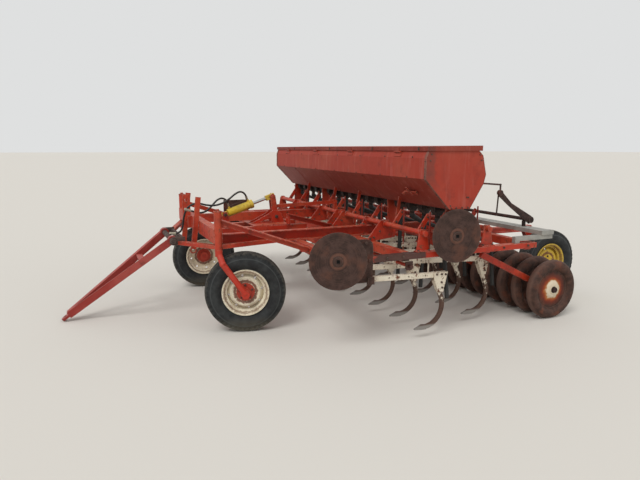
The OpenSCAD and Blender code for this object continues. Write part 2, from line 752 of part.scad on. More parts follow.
module press_gang(side) color(rust) placed() {
    nut_r = 27;
    for (k = [0 : half_rows - 1]) {
        translate([-press_back, side * row_y(k), press_r]) mirror([0, side < 0 ? 1 : 0, 0]) press_wheel();
    }
    y_rod(-press_back, side * (row_y(0) + 66) / 2, press_r, row_y(0) + 56, press_axle_d);
    translate([-press_back, side * (row_y(0) + 52), press_r]) rotate([90, 0, 0]) linear_extrude(20, center = true) difference() {
        polygon([for (i = [0 : 5]) nut_r * [cos(60 * i), sin(60 * i)]]);
        circle(d = press_axle_d + 2 * gap);
    }
}

module press_gang_left() press_gang(1);
module press_gang_right() press_gang(-1);

module shield_disc() rotate([-90, 0, 0]) difference() {
    union() {
        translate([0, 0, -disc_t]) cylinder(h = disc_t, r = disc_r);
        translate([0, 0, -1]) cylinder(h = 5, r = 58);
        translate([0, 0, -18]) cylinder(h = 18, r = 36);
        translate([0, 0, 3]) cylinder(h = 4, r = 34);
    }
    translate([-11, -11, 1]) cube([22, 22, 10]);
    translate([0, 0, -30]) cylinder(h = 29, r = spindle_r + run);
}

module disc_front() color(rust) placed() translate(disc1) rotate([0, 0, disc1_yaw]) shield_disc();
module disc_rear() color(rust) placed() translate(disc2) rotate([0, 0, disc2_yaw]) shield_disc();

module lid() color(panel_red) placed() {
    lid_len = hopper_len + 24;
    up = rim_up + gap + 0.5;
    front = rim_front + [8, up];
    rear = rim_rear + [-28, up + 20 * tan(lid_slope) + 0.5];
    sheet_along([front + [3, 0], front + [3, 3], rear + [-3, 3], rear + [-3, 0]], lid_len);
    sheet_along([front - [0, gap], front + [3, -gap], front + [3, 8 - lid_lip_h], front + [0, 8 - lid_lip_h]], lid_len);
    sheet_along([rear - [0, gap], rear + [-3, -gap], rear + [-3, -lid_lip_h], rear + [0, -lid_lip_h]], lid_len);
    for (w = [-1, 1]) {
        side_plate([front - [gap, gap], rear + [gap, -gap], rear + [gap, -lid_lip_h], front + [-gap, 8 - lid_lip_h]],
            w * (lid_len / 2 - 1.5), 3);
    }
    for (y = lid_hinge_ys) difference() {
        union() {
            y_rod(lid_hinge.x, y, lid_hinge.y, 46, 16);
            translate([front.x + 3 + gap, y - 22, lid_hinge.y + 2]) cube([4, 44, 32]);
        }
        y_rod(lid_hinge.x, y, lid_hinge.y, 50, lid_pin_d + 2 * run);
    }
}

// An outline in X and Z drawn out along Y, centred on the machine
module sheet_along(points, len) translate([0, len / 2, 0]) rotate([90, 0, 0]) linear_extrude(len) polygon(points);

module rocker() color(red) placed() {
    both_sides() {
        side_plate([[tower_pin.x - 34, tower_pin.y - 10], [tower_pin.x, tower_pin.y - 36], [tower_pin.x + 34, tower_pin.y - 10],
            [rod_pin.x + 28, rod_pin.y + 8], [rod_pin.x, rod_pin.y + 30], [rod_pin.x - 28, rod_pin.y + 8]], 31, 10);
    }
    y_rod(tower_pin.x, 0, tower_pin.y, 84, 52);
    y_rod(rod_pin.x, 0, rod_pin.y, 88, cyl_pin_d);
    y_rod(tower_pin.x, 0, tower_pin.y, 122, tower_pin_d);
    y_rod(tower_pin.x, 0, tower_pin.y + link_rise, 80, link_pin_d);
}

// A flat link with an eye at each end, from a to b in X and Z
module flat_link(a, b, y) {
    difference() {
        union() {
            bar([a.x, y, a.y], [b.x, y, b.y], 12, 38);
            y_rod(a.x, y, a.y, 14, 50);
            y_rod(b.x, y, b.y, 14, 50);
        }
        y_rod(a.x, y, a.y, 20, link_pin_d + 2 * run);
        y_rod(b.x, y, b.y, 20, link_pin_d + 2 * run);
    }
}

module lift_link() color(red) placed() {
    flat_link([tower_pin.x, tower_pin.y + link_rise], [rock_front_x, rock_z + link_rise], 0);
}

// A shaft with a lever above each opener of its rank
module lever(x, y) {
    translate([x, y, rock_z]) rotate([0, -lever_tilt, 0]) translate([-lever_w / 2, -lever_t / 2, 0]) cube([lever_w, lever_t, lever_len]);
}

// A pair of short arms with a pin between them, up or down from a rock shaft
module crank_arms(x, y, rise) {
    low = min(0, rise) - (rise < 0 ? 22 : 0);
    for (w = [-1, 1]) translate([x - 20, y + w * 15 - 5, rock_z + low]) cube([40, 10, abs(rise) + 22]);
    y_rod(x, y, rock_z + rise, 54, link_pin_d);
}

module rock_shaft_front() color(red) placed() {
    y_rod(rock_front_x, 0, rock_z, shaft_len, rock_d);
    for (k = [0 : half_rows - 1]) lever(rock_front_x, front_row(k) + inboard(front_row(k)) * lever_off);
    crank_arms(rock_front_x, 0, link_rise);
    crank_arms(rock_front_x, tie_y, -tie_drop);
}

module rock_shaft_rear() color(red) placed() {
    y_rod(rock_rear_x, 0, rock_z, shaft_len, rock_d);
    for (k = [0 : half_rows - 1]) lever(rock_rear_x, rear_row(k) + inboard(rear_row(k)) * lever_off);
    crank_arms(rock_rear_x, tie_y, -tie_drop);
}

module tie_link() color(red) placed() {
    flat_link([rock_front_x, rock_z - tie_drop], [rock_rear_x, rock_z - tie_drop], tie_y);
}

// An outline in X and Z given thickness t along Y, with round holes; holes are [x, z, d]
module holed_plate(points, holes, y, t) translate([0, y + t / 2, 0]) rotate([90, 0, 0]) linear_extrude(t) difference() {
    polygon(points);
    for (h = holes) translate([h[0], h[1]]) circle(d = h[2]);
}

shank_top_a = 155;

// The C shank seen from the side, drawn about the middle of its curve; reach is its straight length
module shank_outline(reach) {
    difference() {
        circle(r = shank_r + shank_d / 2, $fn = 96);
        circle(r = shank_r - shank_d / 2, $fn = 96);
        polygon([[0, 0], [600 * cos(shank_top_a), 600 * sin(shank_top_a)], [-600, 600], [600, 600], [600, -600], [0, -600]]);
    }
    rotate(shank_top_a) translate([shank_r - shank_d / 2 + 0.5, -reach]) square([shank_d - 1, reach + 8]);
    translate([0, -shank_r]) polygon([[-26, -21], [-26, 20], [20, 24], [85, -4], [92, -14], [20, -21]]);
}

// One opener: drag bar with its bracket, C shank and pressure rod; the bar ends at bar_end in X and Z
module opener(pivot, bar_end, rod_x, y) {
    slope = (pivot.y - bar_end.y) / (pivot.x - bar_end.x);
    fall = atan(slope);
    bar_len = norm(pivot - bar_end);
    bend = [bar_end.x + 210 - 0.466 * (bar_end.y - 548), point_z + shank_r + 21];
    neck_z = bend.y + shank_r * sin(shank_top_a);
    reach = (bar_end.y - drag_h / 2 - 12 - neck_z) / 0.906;
    low_z = bar_end.y - 150;
    low_x = bend.x + shank_r * cos(shank_top_a) + (low_z - neck_z) * 0.466;
    rod_foot = pivot.y - (pivot.x - rod_x) * slope;
    s = inboard(y);
    translate([pivot.x, y, pivot.y]) rotate([90, 0, 0]) rotate(fall) translate([0, 0, -drag_w / 2]) linear_extrude(drag_w) difference() {
        union() {
            translate([-bar_len, -drag_h / 2]) square([bar_len, drag_h]);
            circle(d = 64);
        }
        circle(d = pivot_d + 2 * run);
        for (f = [0.25, 0.5, 0.72]) translate([-bar_len * f, 0]) circle(d = 14);
    }
    translate([bend.x, y + shank_w / 2, bend.y]) rotate([90, 0, 0]) linear_extrude(shank_w) shank_outline(reach);
    translate([bend.x, y + drag_w / 2, bend.y]) rotate([90, 0, 0]) linear_extrude(drag_w) rotate(shank_top_a)
        translate([shank_r - shank_d / 2 - 2, 4 - reach]) square([shank_d + 4, 90]);
    for (w = [-1, 1]) {
        side_plate([
            [bar_end.x - 12, bar_end.y + 26], [bar_end.x + 130, bar_end.y + 30], [bar_end.x + 130, bar_end.y - 26],
            [low_x + 22, low_z], [low_x - 30, low_z]
        ], y + w * (drag_w / 2 + gap + 3), 6);
    }
    translate([rod_x - 16, y + s * (drag_w / 2 + gap + 9) - 9, rod_foot - 20]) cube([32, 18, 40]);
    translate([rod_x, y + s * rod_off, rod_foot - 30]) cylinder(h = rod_top - rod_foot + 30, d = 14);
}

module openers_front() color(white) placed() for (k = [0 : half_rows - 1]) {
    opener(pivot_front, [-10, 548], rock_front_x - lever_len * sin(lever_tilt), front_row(k));
}

module openers_rear() color(white) placed() for (k = [0 : half_rows - 1]) {
    opener(pivot_rear, [-640, 600], rock_rear_x - lever_len * sin(lever_tilt), rear_row(k));
}

cyl_dir = [rod_pin.x - base_pin.x, 0, rod_pin.y - base_pin.y];
cyl_unit = cyl_dir / norm(cyl_dir);
function along_cyl(s) = [base_pin.x, 0, base_pin.y] + cyl_unit * s;

module cylinder_barrel() color(yellow) placed() {
    difference() {
        union() {
            rod(along_cyl(40), along_cyl(40 + barrel_len), barrel_d);
            rod(along_cyl(40 + barrel_len - 26), along_cyl(40 + barrel_len + 8), barrel_d + 8);
            bar(along_cyl(-24), along_cyl(60), 26, 46);
            bar(along_cyl(262), along_cyl(290), 24, 24, 0, barrel_d / 2 + 8);
            bar(along_cyl(60), along_cyl(84), 24, 24, 0, barrel_d / 2 + 8);
        }
        rod(along_cyl(80), along_cyl(80 + barrel_len), rod_d + 2 * run);
        y_rod(base_pin.x, 0, base_pin.y, 60, cyl_pin_d + 2 * run);
    }
}

module cylinder_rod() color(grey) placed() {
    total = norm(cyl_dir);
    difference() {
        union() {
            rod(along_cyl(120), along_cyl(total - 50), rod_d);
            bar(along_cyl(total - 72), along_cyl(total + 26), 44, 50);
        }
        y_rod(rod_pin.x, 0, rod_pin.y, 60, cyl_pin_d + 2 * clevis_play);
    }
}

// Points along a smooth curve through the route's points, n steps between each pair
function spline(p, n) = [
    for (i = [0 : len(p) - 2], j = [0 : n - 1])
        let (
            a = p[max(i - 1, 0)],
            b = p[i],
            c = p[i + 1],
            d = p[min(i + 2, len(p) - 1)],
            t = j / n
        )
        0.5 * (2 * b + (c - a) * t + (2 * a - 5 * b + 4 * c - d) * t * t + (3 * b - a - 3 * c + d) * t * t * t),
    p[len(p) - 1]
];

// A hose swept along points; the side vector stays square to the path
module hose(route, d) {
    pts = spline(route, 3);
    n = len(pts);
    sides = 8;
    dirs = [for (i = [0 : n - 1]) unit(pts[min(i + 1, n - 1)] - pts[max(i - 1, 0)])];
    across = [for (i = [0 : n - 1]) unit(cross(dirs[i], [0.31, 0.2, 0.93]))];
    ring = [
        for (i = [0 : n - 1], k = [0 : sides - 1])
            pts[i] + d / 2 * (across[i] * cos(360 * k / sides) + cross(dirs[i], across[i]) * sin(360 * k / sides))
    ];
    skin = [
        for (i = [0 : n - 2], k = [0 : sides - 1])
            [i * sides + k, i * sides + (k + 1) % sides, (i + 1) * sides + (k + 1) % sides, (i + 1) * sides + k]
    ];
    first = [[for (k = [0 : sides - 1]) sides - 1 - k]];
    last = [[for (k = [0 : sides - 1]) (n - 1) * sides + k]];
    polyhedron(ring, concat(first, skin, last));
}

module hydraulic_hoses() color(dark) placed() for (h = hoses) hose(h, hose_d);

main_frame();
long_beams();
front_beam();
frame_braces();
hitch_mast();
hinge_bracket();
shaft_stands();
lift_tower();
opener_hangers();
hopper_shell();
hopper_end_left();
hopper_end_right();
hopper_stands();
seed_cups();
seed_tubes_front();
seed_tubes_rear();
press_arms();
rear_carrier();
footboard();
lift_linkage();
end_plates();
tongue();
caster_left();
caster_right();
wheel_left();
tyre_left();
wheel_right();
tyre_right();
rear_wheel_left();
rear_tyre_left();
rear_wheel_right();
rear_tyre_right();
press_gang_left();
press_gang_right();
disc_front();
disc_rear();
lid();
rocker();
lift_link();
rock_shaft_front();
rock_shaft_rear();
tie_link();
openers_front();
openers_rear();
cylinder_barrel();
cylinder_rod();
hydraulic_hoses();
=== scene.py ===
import json
import math
from functools import cached_property

import bmesh
import bpy
from mathutils import Matrix, Vector


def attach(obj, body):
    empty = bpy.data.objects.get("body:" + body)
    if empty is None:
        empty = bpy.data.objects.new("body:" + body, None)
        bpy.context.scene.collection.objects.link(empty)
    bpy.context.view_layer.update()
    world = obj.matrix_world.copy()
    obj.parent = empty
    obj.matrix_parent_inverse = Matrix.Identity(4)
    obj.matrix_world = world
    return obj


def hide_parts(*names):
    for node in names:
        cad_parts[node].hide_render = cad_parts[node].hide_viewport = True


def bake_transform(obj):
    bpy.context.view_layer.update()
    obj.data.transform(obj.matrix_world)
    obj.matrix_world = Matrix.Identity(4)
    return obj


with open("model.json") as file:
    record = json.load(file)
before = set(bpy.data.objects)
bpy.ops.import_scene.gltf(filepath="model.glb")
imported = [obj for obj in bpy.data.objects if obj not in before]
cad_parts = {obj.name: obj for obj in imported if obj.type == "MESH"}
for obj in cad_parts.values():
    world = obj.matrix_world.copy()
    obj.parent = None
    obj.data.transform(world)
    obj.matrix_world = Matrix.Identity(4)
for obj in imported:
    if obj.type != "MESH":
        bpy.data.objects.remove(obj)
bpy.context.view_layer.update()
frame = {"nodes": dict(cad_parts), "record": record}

bl_info = {
    "name": "Hoe press drill dressing",
    "version": (1, 0, 0),
    "blender": (4, 5, 0),
    "location": "3D View > Sidebar > Drill",
    "description": "Enamel, rust, rubber and fastenings for a trailed hoe press drill",
    "category": "Object",
}

# The machine's stations in metres, measured ahead of the middle of the hopper
JOINTS = {j["name"]: j for j in frame["record"]["behaviour"]["joints"]}
PINS = {name: Vector(j["pos_m"]) for name, j in JOINTS.items() if "pos_m" in j}
SHAFTS = {"front": 0.240, "rear": -0.430}
SHAFT_HEIGHT = PINS["rock_front"].z
MIDDLE = PINS["rock_front"].x - SHAFTS["front"]
ROW = 0.2032
ROWS = {end: [ROW * (first - 2 * k) for k in range(9)] for end, first in (("front", 8.5), ("rear", 7.5))}
HALF_HOPPER = 1.830
HALF_FRAME = 1.775
# The hopper's corners, ahead of its middle and above the ground, from its bottom up the front to the back
SECTION = [(0.0505, 1.120), (0.292, 1.373), (0.290, 1.537), (0.270, 1.592), (-0.222, 1.600),
           (-0.268, 1.555), (-0.305, 1.400), (-0.285, 1.325), (-0.1545, 1.120)]


def at(x, y, z):
    """A point given by its distance ahead of the hopper's middle, its side and its height."""
    return Vector((MIDDLE + x, y, z))


BARREL_PIN, ROD_EYE = at(1.495, 0, 0.942), at(0.980, 0, 1.115)


def linear(code):
    """An sRGB hex value as linear colour."""
    parts = [int(code[i:i + 2], 16) / 255 for i in (1, 3, 5)]
    return tuple(c / 12.92 if c <= 0.04045 else ((c + 0.055) / 1.055) ** 2.4 for c in parts) + (1.0,)


def turn_of(joint):
    """How far an axle that would lie along Y has been turned about an upright line."""
    axis = JOINTS[joint]["axis"]
    return math.atan2(-axis[0], axis[1])


def axle_place(joint):
    """The middle of a joint's axle as a place for forms, with the local Y along the axle."""
    return Matrix.Translation(PINS[joint]) @ Matrix.Rotation(turn_of(joint), 4, "Z")


# Materials

# Sockets of the node that mixes two colours, which has a set for each kind of value
SHARE, UNDER, OVER, MIXED = 0, 6, 7, 2
# What a film of soot leaves of the red, green and blue under it
SOOTED = (0.70, 0.66, 0.64, 1.0)


class Nodes:
    """The nodes of a material or of the room."""

    # The setting that the second word of a node's kind gives
    MODES = {"Math": "operation", "VectorMath": "operation", "MapRange": "interpolation_type",
             "Mix": "data_type"}

    def __init__(self, owner):
        owner.use_nodes = True
        self.tree = owner.node_tree
        self.tree.nodes.clear()

    def feed(self, node, links):
        """Gives a node's sockets hex colours, values or other nodes' outputs, in order or by socket."""
        for key, value in links.items() if isinstance(links, dict) else enumerate(links):
            if isinstance(value, bpy.types.NodeSocket):
                self.tree.links.new(value, node.inputs[key])
            else:
                node.inputs[key].default_value = linear(value) if isinstance(value, str) else value

    def add(self, kind, links=(), out=0, **settings):
        """Adds a node with its settings and links, and gives the output asked for, or the node where out is
        None. A second word in kind is the node's mode."""
        kind, *mode = kind.split()
        node = self.tree.nodes.new("ShaderNode" + kind)
        for key, value in [(self.MODES[kind], word) for word in mode] + list(settings.items()):
            setattr(node, key, value)
        self.feed(node, links)
        return node if out is None else node.outputs[out]


class Surface(Nodes):
    """A material with its shader, and the patterns that several finishes share."""

    def __init__(self, name):
        self.material = bpy.data.materials.new(name)
        super().__init__(self.material)
        self.shader = self.add("BsdfPrincipled", out=None)
        self.add("OutputMaterial", {"Surface": self.shader.outputs[0]}, None)

    @cached_property
    def where(self):
        """The place on the machine that a pattern follows, in metres."""
        return self.add("TexCoord", out="Object")

    def blotches(self, mm, detail=6, depth=0.55, where=None):
        """Sockets of a noise whose blotches are that many millimetres across."""
        return {"Vector": where or self.where, "Scale": 1000.0 / mm, "Detail": detail, "Roughness": depth}

    def edges(self):
        """The normal with its edges rounded by 2.5 mm, and the share of a band of 9 mm there that carries
        edge wear and, where asked, a pale painted edge highlight.
        """
        soft = self.add("Bevel", {"Radius": 0.0025}, samples=3)
        wide = self.add("Bevel", {"Radius": 0.009}, samples=3)
        flat = self.add("NewGeometry", out="Normal")
        same = self.add("VectorMath DOT_PRODUCT", [wide, flat], "Value")
        return soft, self.add("MapRange SMOOTHSTEP", [same, 0.84, 0.99, 1.0, 0.0])

    def facing_up(self, low, high, *to):
        """How far a face looks up, as its normal's upright part goes from low to high."""
        normal = self.add("NewGeometry", out="Normal")
        upright = self.add("SeparateXYZ", [normal], 2)
        return self.add("MapRange SMOOTHSTEP", [upright, low, high, *to])

    def from_axle(self, joint):
        """Distances ahead of a joint's axle, along it and above it, and the distance from it."""
        turn = (0.0, 0.0, turn_of(joint))
        spun = self.add("Mapping", [self.where, PINS[joint], turn], vector_type="TEXTURE")
        axes = self.add("SeparateXYZ", [spun], None).outputs
        flat = self.add("CombineXYZ", [axes[0], axes[2]])
        return axes, self.add("VectorMath LENGTH", [flat], "Value")

    def between(self, value, rise, fall, most=1.0):
        """The share most where value lies between two soft edges, each given by its start and end."""
        up = self.add("MapRange SMOOTHSTEP", [value, *rise])
        down = self.add("MapRange SMOOTHSTEP", [value, *fall, most, 0.0])
        return self.add("Math MULTIPLY", [up, down])

    def ragged(self, value, mm, width, detail=6, depth=0.55):
        """The value moved by half of width either way in blotches, so that an edge drawn on it is ragged."""
        uneven = self.add("TexNoise", self.blotches(mm, detail, depth))
        shift = self.add("Math MULTIPLY_ADD", [uneven, width, -width / 2])
        return self.add("Math ADD", [value, shift])

    def tint(self, share, colour, **blend):
        """Lays one more colour over what the shader's base colour has."""
        base = self.shader.inputs["Base Color"]
        under = base.links[0].from_socket if base.links else tuple(base.default_value)
        laid = self.add("Mix RGBA", {SHARE: share, UNDER: under, OVER: colour}, MIXED, **blend)
        self.tree.links.new(laid, base)

    def relief(self, height, mm, strength):
        """Lays one more relief over what the shader's normal has."""
        normal = self.shader.inputs["Normal"]
        links = {"Strength": strength, "Distance": mm / 1000, "Height": height}
        if normal.links:
            links["Normal"] = normal.links[0].from_socket
        self.tree.links.new(self.add("Bump", links), normal)


def enamel(name, paint, faded, rust, fade=0.35, top_fade_and_light=0.55, spots=0.63, edge=0.8, rough=0.5, blotch=420,
           pale_edge_wear_and_light=0.0):
    """Tractor enamel sprayed on mild steel and left outdoors: the colour goes chalky in blotches and paler on
    upward faces, which is partly sun fade and partly a painted highlight on the tops; the sharp edges are
    rubbed to bare metal that has gone brown, and where asked are lined pale, partly with wear and partly as a
    painted edge highlight; rust comes up through it in spots, and painted shade darkens the undersides."""
    m = Surface(name)
    soft, worn = m.edges()
    m.feed(m.shader, {"Base Color": paint, "Normal": soft, "Specular IOR Level": 0.4})
    clouds = m.add("TexNoise", m.blotches(blotch, 5))
    fine = m.add("TexNoise", m.blotches(14, 6, 0.7))
    chalk = m.add("MapRange SMOOTHSTEP", [clouds, 0.42, 0.66, 0.0, fade])
    # Upward faces go paler in patches: partly sun fade, partly a painted highlight on the tops
    top_patches = m.add("MapRange SMOOTHSTEP", [m.add("TexNoise", m.blotches(160, 5)), 0.25, 0.62])
    sun = m.add("Math MULTIPLY", [m.facing_up(0.45, 0.95, 0.0, top_fade_and_light), top_patches])
    m.tint(m.add("Math MAXIMUM", [chalk, sun]), faded)
    soot = m.add("MapRange SMOOTHSTEP", [m.add("TexNoise", m.blotches(95, 6, 0.6)), 0.52, 0.75])
    m.tint(soot, SOOTED, blend_type="MULTIPLY")
    # Painted shade: faces that look down are darkened halfway towards a dark red-brown
    underside_shade = m.add("Mix RGBA", {SHARE: fine, UNDER: "#4A211A", OVER: "#6A2A1E"}, MIXED)
    m.tint(m.facing_up(-0.75, -0.15, 0.5, 0.0), underside_shade)
    # Pale edges in patches where asked: partly worn paint, partly a painted edge highlight
    pale_edge_patches = m.add("MapRange SMOOTHSTEP", [m.add("TexNoise", m.blotches(38, 5)), 0.40, 0.55, 0.0, pale_edge_wear_and_light])
    m.tint(m.add("Math MULTIPLY", [worn, pale_edge_patches]), "#C9A294")
    # Bare steel: spots that have broken through, and the rubbed edges
    specks = m.add("Math MULTIPLY", [fine, 0.25])
    patches = m.add("Math MULTIPLY_ADD", [m.add("TexNoise", m.blotches(60, 8, 0.68)), 0.75, specks])
    spotted = m.add("MapRange SMOOTHSTEP", [patches, spots, spots + 0.05])
    rubbed = m.add("MapRange SMOOTHSTEP", [fine, 0.44, 0.56, 0.0, edge])
    bare = m.add("Math MAXIMUM", [spotted, m.add("Math MULTIPLY", [worn, rubbed])])
    flakes = m.add("TexNoise", m.blotches(9, 6, 0.7))
    m.tint(bare, m.add("Mix RGBA", {SHARE: flakes, UNDER: rust, OVER: "#8A5238"}, MIXED))
    matt = m.add("Math MULTIPLY_ADD", [clouds, 0.2, rough - 0.1])
    m.feed(m.shader, {"Roughness": m.add("Math MULTIPLY_ADD", [bare, 0.3, matt])})
    grit = m.add("Math MULTIPLY", [fine, 0.35])
    m.relief(m.add("Math MULTIPLY_ADD", [bare, -0.5, grit]), 0.7, 0.7)
    return m


def rusted(name, dark, light, warm, size=45, rough=0.82):
    """Mild steel rusted through to a dry brown skin, with a warmer bloom in blotches and fine pits."""
    m = Surface(name)
    soft, worn = m.edges()
    skin = m.add("TexNoise", m.blotches(size, 7, 0.62))
    bloom = m.add("TexNoise", m.blotches(130, 6, 0.6))
    m.feed(m.shader, {"Base Color": dark, "Normal": soft, "Roughness": rough, "Specular IOR Level": 0.3})
    m.tint(m.add("MapRange SMOOTHSTEP", [skin, 0.35, 0.68]), light)
    m.tint(m.add("MapRange SMOOTHSTEP", [bloom, 0.5, 0.72]), warm)
    m.tint(m.add("Math MULTIPLY", [worn, 0.35]), "#8C7B70")
    m.relief(m.add("TexNoise", m.blotches(3.5, 5, 0.75)), 0.5, 0.6)
    return m


def turned_disc(name, joint):
    """A rolled steel disc gone brown, with the faint rings that soil wears round it, a paler ring about its
    hub, and a near-black square of painted shade for the square hole of its axle."""
    m = rusted(name, "#33241F", "#4C3731", "#5A3A2E", 60)
    axes, reach = m.from_axle(joint)
    # Rings about 6 mm apart, then the hub's ring and the half width of the painted shade in its square hole,
    # in metres
    out = m.add("Math MULTIPLY", [reach, 1000 / 6.25])
    rings = m.add("TexNoise", {"W": out, "Scale": 1.0, "Detail": 3.0}, noise_dimensions="1D")
    m.tint(m.add("MapRange SMOOTHSTEP", [rings, 0.45, 0.75, 0.0, 0.35]), "#63493E")
    m.tint(m.between(reach, (0.040, 0.050), (0.062, 0.070), 0.7), "#6E4A3C")
    # Painted shade: a near-black square where the axle's hole is, for the shade inside it
    corner = m.add("Math MAXIMUM", [m.add("Math ABSOLUTE", [axes[i]]) for i in (0, 2)])
    m.tint(m.add("MapRange SMOOTHSTEP", [corner, 0.0135, 0.0145, 1.0, 0.0]), "#0B0908")
    m.relief(rings, 0.6, 0.5)
    return m


def press_steel(name, joint, last_row):
    """Press wheels: brown steel rubbed smooth on the crown, with old paint left round the hubs of the end
    wheels, pale in the middle and turning through orange to the brown of the rest."""
    m = rusted(name, "#38261F", "#543A30", "#6A3D2C", 55, 0.7)
    axes, reach = m.from_axle(joint)
    wobble = m.ragged(reach, 40, 0.05, 5)
    side = m.add("Math ABSOLUTE", [axes[1]])
    outer = m.add("MapRange SMOOTHSTEP", [side, last_row + 0.010, last_row + 0.013])
    # Radii in metres at which each old colour is whole and at which it has gone
    for near, far, code in ((0.120, 0.175, "#662B1C"), (0.105, 0.132, "#8E3D1E"), (0.090, 0.108, "#A86A38"),
                            (0.080, 0.092, "#D6C8AE")):
        inside = m.add("MapRange SMOOTHSTEP", [wobble, near, far, 1.0, 0.0])
        m.tint(m.add("Math MULTIPLY", [inside, outer]), code)
    # The axle's end, and the rubbed crown
    m.tint(m.add("MapRange SMOOTHSTEP", [reach, 0.030, 0.034, 1.0, 0.0]), "#33221D")
    m.tint(m.add("MapRange SMOOTHSTEP", [reach, 0.268, 0.282, 0.0, 0.5]), "#6B5146")
    return m


def rim_enamel(name, joint, paint, faded, hub_paint=None):
    """A pressed steel rim in old enamel: rust has crept out from the hub, round the holes and under the
    tyre's bead."""
    m = enamel(name, paint, faded, "#5B3526", fade=0.4, top_fade_and_light=0.2, spots=0.62, edge=0.9, rough=0.55,
               blotch=120)
    reach = m.from_axle(joint)[1]
    wobble = m.ragged(reach, 26, 0.06, 6, 0.7)
    # Radii in metres of the ring of rust round the hub, of the one at the bead, and of the hub's own paint
    m.tint(m.between(wobble, (0.078, 0.084), (0.103, 0.115), 0.9), "#6B3A28")
    m.tint(m.between(wobble, (0.176, 0.183), (0.189, 0.197), 0.65), "#7B5A45")
    if hub_paint:
        m.tint(m.add("MapRange SMOOTHSTEP", [reach, 0.080, 0.083, 1.0, 0.0]), hub_paint)
    return m


def tyre_rubber(name, joint):
    """Black cross-ply rubber that years of sun have turned grey and fine-cracked, with straw dust on the
    tread and soil where it stands."""
    m = Surface(name)
    reach = m.from_axle(joint)[1]
    m.feed(m.shader, {"Base Color": "#232425", "Roughness": 0.78, "Specular IOR Level": 0.35})
    m.tint(m.add("MapRange SMOOTHSTEP", [m.add("TexNoise", m.blotches(70)), 0.35, 0.7]), "#343636")
    # Dust from the radius where the tread starts, in metres, and soil up to 16 cm above the ground
    tread = m.add("MapRange SMOOTHSTEP", [reach, 0.330, 0.352])
    dust = m.add("TexNoise", m.blotches(35, 6, 0.7))
    dusty = m.add("MapRange SMOOTHSTEP", [dust, 0.35, 0.65, 0.0, 0.55])
    m.tint(m.add("Math MULTIPLY", [tread, dusty]), "#5E594E")
    height = m.add("SeparateXYZ", [m.where], 2)
    m.tint(m.add("MapRange SMOOTHSTEP", [height, 0.02, 0.16, 0.45, 0.0]), "#6A6353")
    # Moulded rings 7.5 mm apart on the lower wall, and one ridge at its widest
    rings = m.add("Math SINE", [m.add("Math MULTIPLY", [reach, 2 * math.pi / 0.0075])])
    walls = m.between(reach, (0.226, 0.230), (0.252, 0.256))
    ridge = m.between(reach, (0.300, 0.303), (0.308, 0.311))
    m.tint(m.add("Math MULTIPLY", [ridge, 0.35]), "#565B5A")
    ribs = m.add("Math MULTIPLY_ADD", [rings, walls, m.add("Math MULTIPLY", [ridge, 1.5])])
    cracks = m.add("Math MULTIPLY", [m.add("TexNoise", m.blotches(5, 6, 0.75)), 0.4])
    m.relief(m.add("Math MULTIPLY_ADD", [ribs, 0.7, cracks]), 1.6, 0.8)
    return m


def black_rubber(name, code, rough):
    """Extruded black rubber, dull, with dust caught on the upper side."""
    m = Surface(name)
    m.feed(m.shader, {"Base Color": code, "Roughness": rough})
    m.tint(m.add("TexNoise", m.blotches(30, 4)), "#2B2A28")
    m.tint(m.facing_up(0.5, 1.0, 0.0, 0.25), "#6E6759")
    m.relief(m.add("TexNoise", m.blotches(4, 4)), 0.4, 0.4)
    return m


def plated_steel(name, code, rough):
    """Zinc-plated steel, turned from bar and dulled by weather, with a fine grain."""
    m = Surface(name)
    m.feed(m.shader, {"Base Color": code, "Roughness": rough, "Metallic": 1.0})
    m.tint(m.add("MapRange SMOOTHSTEP", [m.add("TexNoise", m.blotches(50)), 0.45, 0.75]), "#8A8078")
    m.relief(m.add("TexNoise", m.blotches(3, 3, 0.6)), 0.2, 0.3)
    return m


def opener_enamel(name):
    """White enamel on the drag bars and brackets, chipped at every edge. The shanks below have lost nearly
    all of it and are brown, the points are worn bright, and the pressure rods above are red."""
    m = enamel(name, "#D8CDB8", "#E4DCCB", "#432B20", fade=0.5, top_fade_and_light=0.3, spots=0.545, edge=1.0, rough=0.62,
               blotch=150)
    # Heights in metres: brown up to 0.4, red from 0.74 and worn bright up to 0.12
    height = m.add("SeparateXYZ", [m.where], 2)
    brown, red = [
        m.add("Mix RGBA", {SHARE: m.add("TexNoise", m.blotches(mm)), UNDER: dark, OVER: light}, MIXED)
        for mm, dark, light in ((35, "#3A2821", "#5F4335"), (40, "#6E2418", "#9A3524"))]
    chipped = m.ragged(height, 38, 0.75, 6, 0.75)
    m.tint(m.add("MapRange SMOOTHSTEP", [chipped, 0.36, 0.40, 1.0, 0.0]), brown)
    masked = m.ragged(height, 38, 0.1875, 6, 0.75)
    m.tint(m.add("MapRange SMOOTHSTEP", [masked, 0.735, 0.775]), red)
    m.tint(m.add("MapRange SMOOTHSTEP", [height, 0.105, 0.125, 1.0, 0.0]), "#85807A")
    return m


